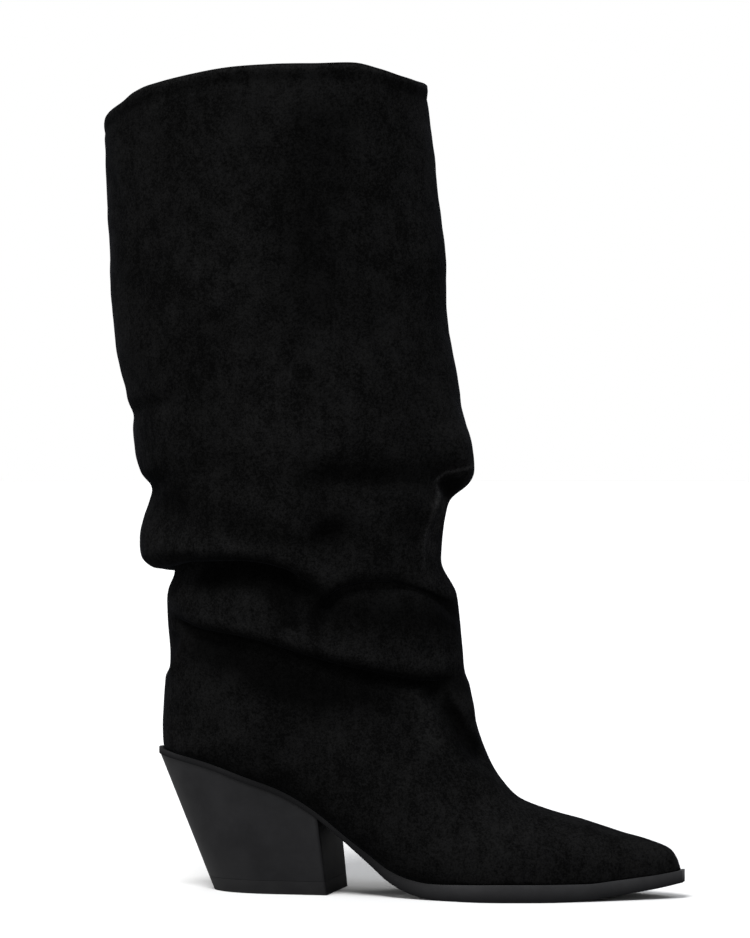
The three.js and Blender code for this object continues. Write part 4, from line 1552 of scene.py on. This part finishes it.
    def eased(self, grid: np.ndarray, seated: int, reach: int = 12, rounds: int = 24) -> np.ndarray:
        """Smooths the upper where its foot slices meet its shaft slices.

        Args:
            grid: points of the plain upper.
            seated: number of rows that stand on the sole.
            reach: rows on each side of the meeting that are smoothed.
            rounds: how many times they are smoothed.

        Returns:
            The points, with those on the sole left where they were.
        """
        grid = grid.copy()
        low, high = seated - 1 - reach, seated + reach
        weight = bump(np.arange(low, high) - (seated - 1.0), reach / 2.0)[:, None, None] * 0.5
        for _ in range(rounds):
            left = np.concatenate([grid[:, -2:-1], grid[:, :-1]], axis=1)[low:high]
            right = np.concatenate([grid[:, 1:], grid[:, 1:2]], axis=1)[low:high]
            mean = (left + right + grid[low - 1:high - 1] + grid[low + 1:high + 1]) / 4.0
            moved = lerp(grid[low:high], mean, weight)
            for edge in (0, -1):
                moved[:seated - low, edge] = grid[low:seated, edge]
            grid[low:high] = moved
        return grid

    def outer_sheet(self) -> Tuple[np.ndarray, np.ndarray, np.ndarray, int]:
        """Outer face of the upper with all its folds.

        Returns:
            Its points by row and column, their painted light and shade, the points of a sheet that passes
            inside all the creases, and the number of seated rows.
        """
        rows, seated = self.form.rows(self.row_spacing, self.fold_row_spacing)
        turns = np.arange(self.columns + 1) / self.columns
        plain = self.eased(self.form.plain(rows, turns), seated)
        aside = sheet_normals(plain, seated)
        aside[..., 2] *= self.fold_slope
        aside /= np.maximum(np.linalg.norm(aside, axis=-1, keepdims=True), 1e-9)
        out, down = self.form.fold_shift(plain)
        folded = plain + aside * out[..., None]
        folded[..., 2] -= down
        over_sole = folded[..., 2] - self.form.sole.top(folded[..., 0])
        free = smoothstep(0.0, self.free_height, over_sole)
        below_rim = folded[-1, :, 2][None, :] - folded[..., 2]
        small = self.small_shift(folded) + free * self.ripples(folded)
        for band in (self.hem_swell, self.hem_groove):
            small += self.collar_band(below_rim, *band)
        grid = folded + sheet_normals(folded, seated) * small[..., None]
        grid[..., 2] -= self.hem_radius * smoothstep(self.rim_reach, 0.0, below_rim)
        grid[seated:, -1] = grid[seated:, 0]
        relief = ((grid - plain) * aside).sum(axis=-1)
        deepest = self.blurred(self.lowest(relief, *self.lining_reach), *self.lining_mean)
        deepest = lerp(relief, deepest, smoothstep(*self.lining_loose, below_rim) * free)
        core = plain + aside * deepest[..., None]
        core[seated:, -1] = core[seated:, 0]
        return grid, self.painted_light_and_shade(grid, sheet_normals(grid, seated), relief), core, seated

    def inward(self, grid: np.ndarray, normals: np.ndarray, seated: int, depth: float) -> np.ndarray:
        """Points of a sheet inside the outer one.

        Args:
            grid: points of the outer sheet.
            normals: their outward directions.
            seated: number of rows that stand on the sole.
            depth: how far inside it lies.

        Returns:
            Its points. Along the sole they stay on the sole.
        """
        way = normals.copy()
        slope = self.form.sole.top(grid[..., 0] + 1.0) - self.form.sole.top(grid[..., 0])
        floor = np.stack([-slope, np.zeros_like(slope), np.ones_like(slope)], axis=-1)
        floor /= np.linalg.norm(floor, axis=-1, keepdims=True)
        flat = way - floor * (way * floor).sum(axis=-1, keepdims=True)
        flat /= np.maximum(np.linalg.norm(flat, axis=-1, keepdims=True), 1e-9)
        way[0] = flat[0]
        for edge in (0, -1):
            way[:seated, edge] = flat[:seated, edge]
        inside = grid - way * depth
        inside[seated:, -1] = inside[seated:, 0]
        return inside

    def hem_rows(self, grid: np.ndarray, normals: np.ndarray) -> np.ndarray:
        """Rows that turn the suede over the collar and down inside.

        Args:
            grid: points of the outer sheet, up to where the turn starts.
            normals: their outward directions.

        Returns:
            The added rows, the last of them at the hem's inner edge.
        """
        way = normals[-1] * np.array([1.0, 1.0, 0.0])
        way /= np.linalg.norm(way, axis=-1, keepdims=True)
        up = np.array([0.0, 0.0, 1.0])
        added = []
        for angle in np.linspace(0.0, math.pi, self.hem_faces + 1)[1:]:
            turn = way * (math.cos(angle) - 1.0) + up * math.sin(angle)
            added.append(grid[-1] + self.hem_radius * turn)
        inner = added[-1]
        for drop in (*self.hem_steps, self.hem_drop - self.hem_edge, self.hem_drop):
            tuck = 0.5 * self.hem_radius if drop == self.hem_drop else 0.0
            added.append(inner - up * drop + way * tuck)
        return np.stack(added)

    def shell(
        self, name: str, outer: np.ndarray, inner: np.ndarray, seated: int, step: int, row_step: int,
        painted_tones: Union[np.ndarray, None] = None,
    ) -> bpy.types.Object:
        """Closed wall between two sheets.

        Args:
            name: name of the piece.
            outer: points of the outer sheet by row and column.
            inner: points of the inner sheet, from the toe's row upwards, with step times fewer faces.
            seated: number of the outer sheet's rows that stand on the sole.
            step: how many of the outer sheet's faces meet one of the inner sheet's along a row.
            row_step: the same from row to row.
            painted_tones: painted light and shade of each point of the outer sheet, if it has a nap.

        Returns:
            The wall.
        """
        rows, columns = outer.shape[0] - 1, outer.shape[1] - 1
        inner_rows, inner_columns = inner.shape[0] - 1, inner.shape[1] - 1
        wall = self.bench.grid(name, columns, rows, outer)
        lining = self.bench.grid(name + "_back", inner_columns, inner_rows, inner)
        if painted_tones is not None:
            self.bench.mark(wall, PAINTED_LIGHT_AND_SHADE, painted_tones)
            self.bench.mark(lining, PAINTED_LIGHT_AND_SHADE, np.full(inner.shape[:2], UNPAINTED_TONE))
        lining.data.flip_normals()
        self.bench.join([wall, lining])
        start = (rows + 1) * (columns + 1)

        def outer_at(row: int, column: int) -> int:
            """Returns the index of a point of the outer sheet."""
            return row * (columns + 1) + column

        def inner_at(row: int, column: int) -> int:
            """Returns the index of a point of the inner sheet."""
            return start + row * (inner_columns + 1) + column

        fine = [outer_at(0, j) for j in range(columns + 1)]
        coarse = [inner_at(0, j) for j in range(inner_columns + 1)]
        rims = [(fine, coarse, step)]
        fine = [outer_at(rows, j) for j in range(columns, -1, -1)]
        coarse = [inner_at(inner_rows, j) for j in range(inner_columns, -1, -1)]
        rims.append((fine, coarse, step))
        last = seated - 1
        fine = [outer_at(i, columns) for i in range(last + 1)]
        coarse = [inner_at(i, inner_columns) for i in range(last // row_step + 1)]
        rims.append((fine, coarse, row_step))
        fine = [outer_at(i, 0) for i in range(last, -1, -1)]
        coarse = [inner_at(i, 0) for i in range(last // row_step, -1, -1)]
        rims.append((fine, coarse, row_step))
        mesh = bmesh.new()
        mesh.from_mesh(wall.data)
        mesh.verts.ensure_lookup_table()
        for fine, coarse, stride in rims:
            for k in range(len(coarse) - 1):
                strip = fine[stride * k:stride * k + stride + 1]
                turn = stride // 2
                faces = [(strip[i + 1], strip[i], coarse[k]) for i in range(turn)]
                faces += [(strip[i + 1], strip[i], coarse[k + 1]) for i in range(turn, stride)]
                faces.append((strip[turn], coarse[k], coarse[k + 1]))
                for face in faces:
                    mesh.faces.new([mesh.verts[index] for index in face])
        mesh.to_mesh(wall.data)
        mesh.free()
        self.bench.weld(wall, 0.004, outward=False)
        self.bench.smooth(wall)
        return wall

    def build(self) -> None:
        """Makes the suede and the lining and puts them on the model."""
        grid, painted_tones, core, seated = self.outer_sheet()
        normals = sheet_normals(grid, seated)
        below = grid[-1, :, 2].min() - self.hem_drop - self.hem_clear
        hem_foot = int(np.argmax(grid[..., 2].max(axis=1) > below)) // 4 * 4
        back = self.inward(grid, normals, seated, self.suede_thickness)
        hem = self.hem_rows(grid, normals)
        outer = np.concatenate([grid, hem])
        painted_tones = np.concatenate([painted_tones, np.full(hem.shape[:2], UNPAINTED_TONE)])
        suede = self.shell("suede_upper", outer, back[:hem_foot + 1, ::2], seated, 2, 1, painted_tones)
        suede.data.materials.append(SuedeFinish().make())
        self.bench.hand_over(suede, Slot.SUEDE, "upper")
        hem_top = hem_foot + 4
        inner_way = sheet_normals(core, seated)
        front = self.inward(core, inner_way, seated, self.lining_depth)[:hem_top + 1, ::2]
        depth = self.lining_depth + self.lining_thickness
        rear = self.inward(core, inner_way, seated, depth)[:hem_top + 1:2, ::4]
        lining = self.shell("lining_cloth", front, rear, seated, 2, 2)
        lining.data.materials.append(ClothFinish().make())
        self.bench.hand_over(lining, Slot.LINING)


@dataclass
class Studio:
    """Plain pale floor, soft light and the camera."""

    origin_x: float
    azimuth: float = 12.6
    distance: float = 2000.0
    target: Tuple[float, float, float] = (111.3, 0.0, 211.3)
    image_width: int = 750
    image_height: int = 938
    focal_pixels: float = 4000.0
    sensor: float = 36.0
    floor_half: float = 60.0
    floor_tone: float = 0.46

    # lights: name, azimuth and elevation in degrees, strength, width in degrees and colour
    suns: Tuple[Tuple[str, float, float, float, float, Colour], ...] = (
        ("key", -14.0, 62.0, 5.2, 22.0, (1.0, 1.0, 1.0)),
        ("cool", 62.0, 50.0, 0.7, 25.0, (0.80, 0.88, 1.0)),
        ("side", -78.0, 28.0, 1.1, 40.0, (1.0, 1.0, 1.0)),
        ("back", 165.0, 50.0, 1.0, 40.0, (1.0, 1.0, 1.0)),
    )

    # the sky's strength at the horizon and overhead, and the slopes between which it changes
    horizon_strength: float = 1.0
    zenith_strength: float = 0.55
    sky_blend: Pair = (0.22, 0.6)

    def floor(self) -> None:
        """Lays the floor."""
        bpy.ops.object.select_all(action="DESELECT")
        bpy.ops.mesh.primitive_grid_add(x_subdivisions=4, y_subdivisions=4, size=2.0 * self.floor_half)
        floor = bpy.context.active_object
        floor.name = "floor"
        sheet = NodeSheet("pale_floor")
        tone = sheet.noise(400.0, 2.0)
        pale = opaque((self.floor_tone,) * 3)
        paler = opaque((self.floor_tone * 1.02,) * 3)
        sheet.feed("Base Color", sheet.mix(tone, pale, paler))
        sheet.feed("Roughness", 0.9)
        sheet.feed("Specular IOR Level", 0.0)
        floor.data.materials.append(sheet.material)

    def sun(
        self, name: str, azimuth: float, elevation: float, power: float, soft: float, colour: Colour,
    ) -> None:
        """Adds a soft light from far away.

        Args:
            name: name of the light.
            azimuth: where it stands, in degrees round the boot from straight before its outer side.
            elevation: its height in degrees.
            power: its strength.
            soft: how wide it looks from the boot, in degrees.
            colour: its colour.
        """
        light = bpy.data.lights.new(name, "SUN")
        light.energy = power
        light.angle = math.radians(soft)
        light.color = colour
        lamp = bpy.data.objects.new(name, light)
        bpy.context.scene.collection.objects.link(lamp)
        turn, rise = math.radians(azimuth), math.radians(elevation)
        way = Vector((math.sin(turn) * math.cos(rise), -math.cos(turn) * math.cos(rise), math.sin(rise)))
        lamp.rotation_euler = way.to_track_quat("Z", "Y").to_euler()
        lamp.location = way * 3.0

    def sky(self) -> None:
        """Makes the backdrop white and the light from overhead weaker than at the horizon."""
        world = bpy.data.worlds.new("studio")
        bpy.context.scene.world = world
        world.use_nodes = True
        tree = world.node_tree
        place = tree.nodes.new("ShaderNodeTexCoord")
        split = tree.nodes.new("ShaderNodeSeparateXYZ")
        ease = tree.nodes.new("ShaderNodeMapRange")
        ease.interpolation_type = "SMOOTHSTEP"
        ease.inputs["From Min"].default_value, ease.inputs["From Max"].default_value = self.sky_blend
        ease.inputs["To Min"].default_value = self.horizon_strength
        ease.inputs["To Max"].default_value = self.zenith_strength
        tree.links.new(place.outputs["Generated"], split.inputs[0])
        tree.links.new(split.outputs["Z"], ease.inputs["Value"])
        background = tree.nodes["Background"]
        background.inputs["Color"].default_value = (1.0, 1.0, 1.0, 1.0)
        tree.links.new(ease.outputs[0], background.inputs["Strength"])

    def camera(self) -> None:
        """Sets up the camera at the photograph's angle."""
        turn = math.radians(self.azimuth)
        target = Vector(self.target) * MM + Vector((self.origin_x, 0.0, 0.0))
        away = Vector((math.sin(turn), -math.cos(turn), 0.0))
        data = bpy.data.cameras.new("view")
        data.sensor_width = self.sensor
        data.lens = self.focal_pixels / max(self.image_width, self.image_height) * self.sensor
        data.clip_end = 500.0
        camera = bpy.data.objects.new("view", data)
        bpy.context.scene.collection.objects.link(camera)
        camera.location = target + away * self.distance * MM
        camera.rotation_euler = away.to_track_quat("Z", "Y").to_euler()
        bpy.context.scene.camera = camera

    def build(self) -> None:
        """Puts the boot on its floor, in its light and before its camera."""
        self.floor()
        self.sky()
        for light in self.suns:
            self.sun(*light)
        self.camera()
        bpy.context.scene.view_settings.view_transform = "Standard"


def main() -> None:
    """Builds the boot piece by piece and sets its stage."""
    bench = Workbench()
    upper_form = UpperForm()
    Bottom(bench, upper_form.sole).build()
    Leg(bench, upper_form).build()
    Studio(bench.origin_x).build()
    bpy.context.view_layer.update()


if __name__ == "__main__":
    main()
